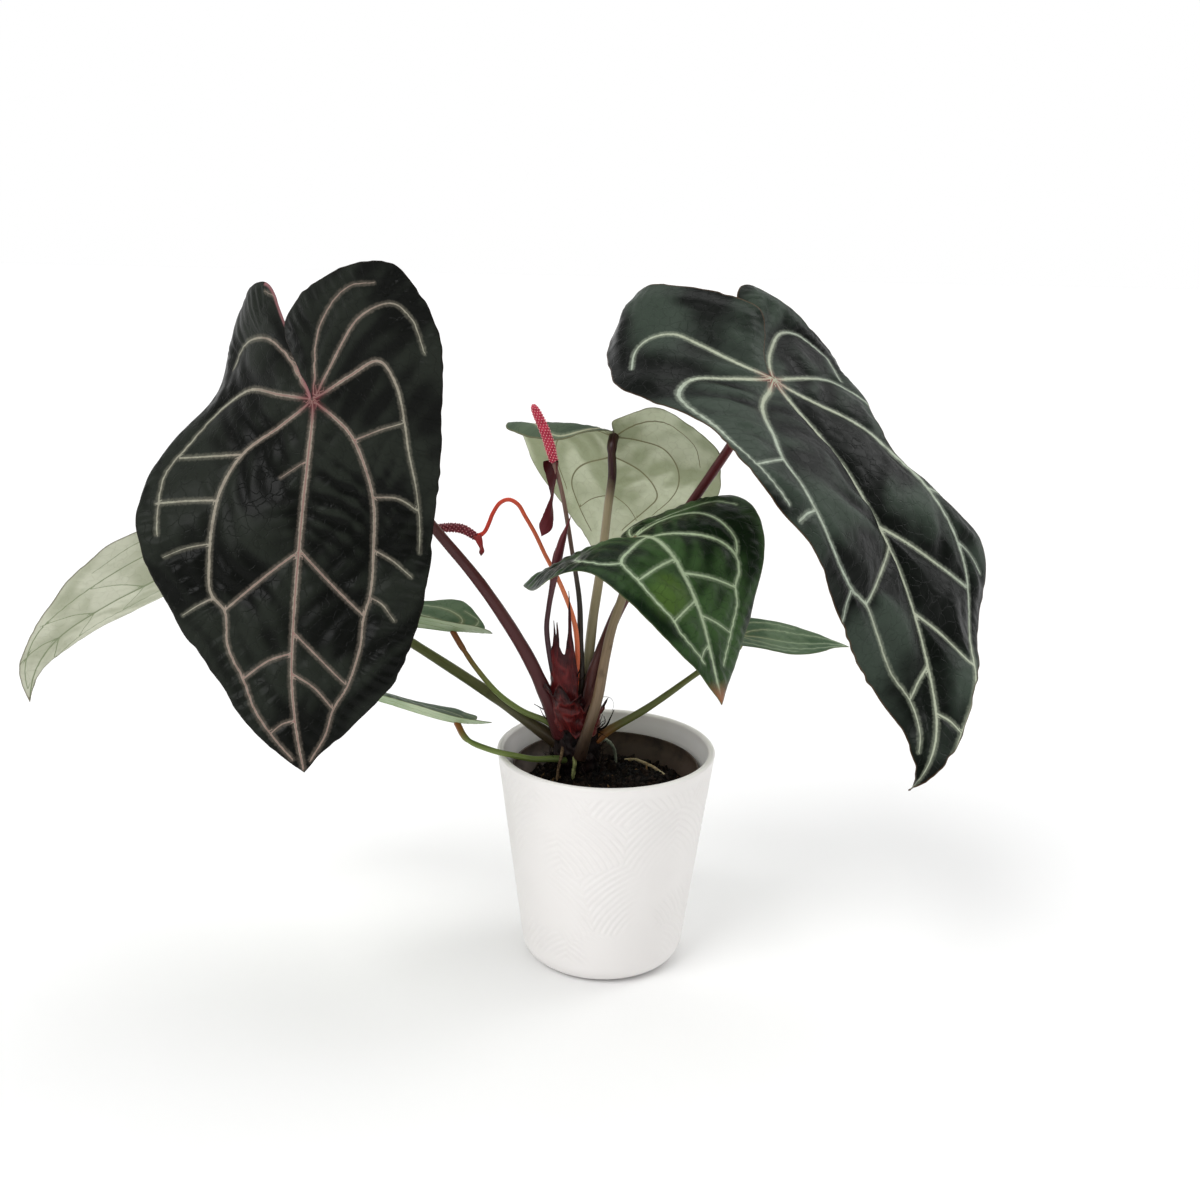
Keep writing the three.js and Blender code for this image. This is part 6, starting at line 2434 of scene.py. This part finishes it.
@dataclass
class Studio:
    """The plain pale floor, soft lights and the camera at the photograph's angle.

    suns give each lamp's name, where it shines from, its spread in degrees and its power.
    """

    lens: float = 45
    sensor: float = 36
    camera_at: Place = (-6.06, -898.9, 503.6)
    down: float = 16.3
    roll: float = 1.26
    sky: float = 0.42
    suns: Sequence[tuple[str, Place, float, float]] = (
        ("key", (-0.95, -1.0, 1.7), 32, 1.4), ("top", (0.3, 0.5, 1.7), 60, 0.95),
        ("rim", (1.0, 0.55, 0.85), 28, 0.5))

    def build(self) -> None:
        """Sets the floor, the lights, the world and the camera."""
        self.build_floor()
        self.build_lights()
        self.build_camera()

    def build_floor(self) -> None:
        """Makes a wide pale floor that the studio light keeps near white."""
        size, drop = 6000.0, 0.05
        sides = [(-size, -size), (size, -size), (size, size), (-size, size)]
        corners = np.array([(x, y, -drop) for x, y in sides])
        floor = make_object("studio_floor", corners, [(0, 1, 2, 3)], smooth=False)
        p = Paint("floor_pale")
        cloud = p.noise(p.own_place(), 3.0, 2, 0.5)
        colour = p.mix(p.ease(cloud, 0.3, 0.7), (250, 250, 250), (249, 249, 249))
        floor.data.materials.append(p.dress(Base_Color=colour, Roughness=0.9, Specular_IOR_Level=0.1))

    def build_lights(self) -> None:
        """Makes a surround that is dimmer overhead, and the key, top and rim lamps."""
        world = bpy.data.worlds.new("studio_world")
        bpy.context.scene.world = world
        world.use_nodes = True
        sky = Graph(world.node_tree)
        direction = sky.add("ShaderNodeTexCoord").outputs["Generated"]
        height = sky.add("ShaderNodeSeparateXYZ", {0: direction}).outputs["Z"]
        light = sky.add("ShaderNodeMapRange", {
            "Value": height, "From Min": 0.12, "From Max": 0.4, "To Min": 1.0,
            "To Max": self.sky}).outputs["Result"]
        backdrop = world.node_tree.nodes["Background"]
        backdrop.inputs["Color"].default_value = (1, 1, 1, 1)
        sky.tree.links.new(light, backdrop.inputs["Strength"])
        for name, source, spread, power in self.suns:
            lamp = bpy.data.lights.new(name, "SUN")
            lamp.angle = math.radians(spread)
            lamp.energy = power
            thing = bpy.data.objects.new(name, lamp)
            thing.rotation_euler = (-Vector(source)).to_track_quat("-Z", "Y").to_euler()
            bpy.context.scene.collection.objects.link(thing)

    def build_camera(self) -> None:
        """Places the camera that was fitted to the pot in the photograph."""
        camera = bpy.data.cameras.new("camera")
        camera.lens = self.lens
        camera.sensor_width = self.sensor
        camera.clip_start = 0.01
        camera.clip_end = 50
        thing = bpy.data.objects.new("camera", camera)
        down, roll = math.radians(self.down), math.radians(self.roll)
        ahead = Vector((0, math.cos(down), -math.sin(down)))
        right = Vector((1, 0, 0))
        up = right.cross(ahead)
        turned_right = right * math.cos(roll) + up * math.sin(roll)
        turned_up = up * math.cos(roll) - right * math.sin(roll)
        pose = Matrix((turned_right, turned_up, -ahead)).transposed().to_4x4()
        pose.translation = Vector(self.camera_at) * MM
        thing.matrix_world = pose
        bpy.context.scene.collection.objects.link(thing)
        bpy.context.scene.camera = thing
        bpy.context.scene.view_settings.view_transform = "Standard"


def main() -> None:
    """Builds the plant, its pots and the studio, and reports each piece."""
    logging.basicConfig(level=logging.INFO, format="%(message)s")
    Studio().build()
    OuterPot().build()
    PlantPot().build()
    PottingMix().build()
    crown = Crown()
    crown.build_stem()
    crown.build_sheaths()
    crown.build_fibres()
    crown.build_roots()
    leaves = [left_large_leaf(), right_large_leaf(), back_leaf(), front_leaf(), rear_left_leaf(),
              *young_leaves()]
    for leaf in leaves:
        leaf.build()
    NewLeaf().build()
    for spike in flower_spikes():
        spike.build()


if __name__ == "__main__":
    main()
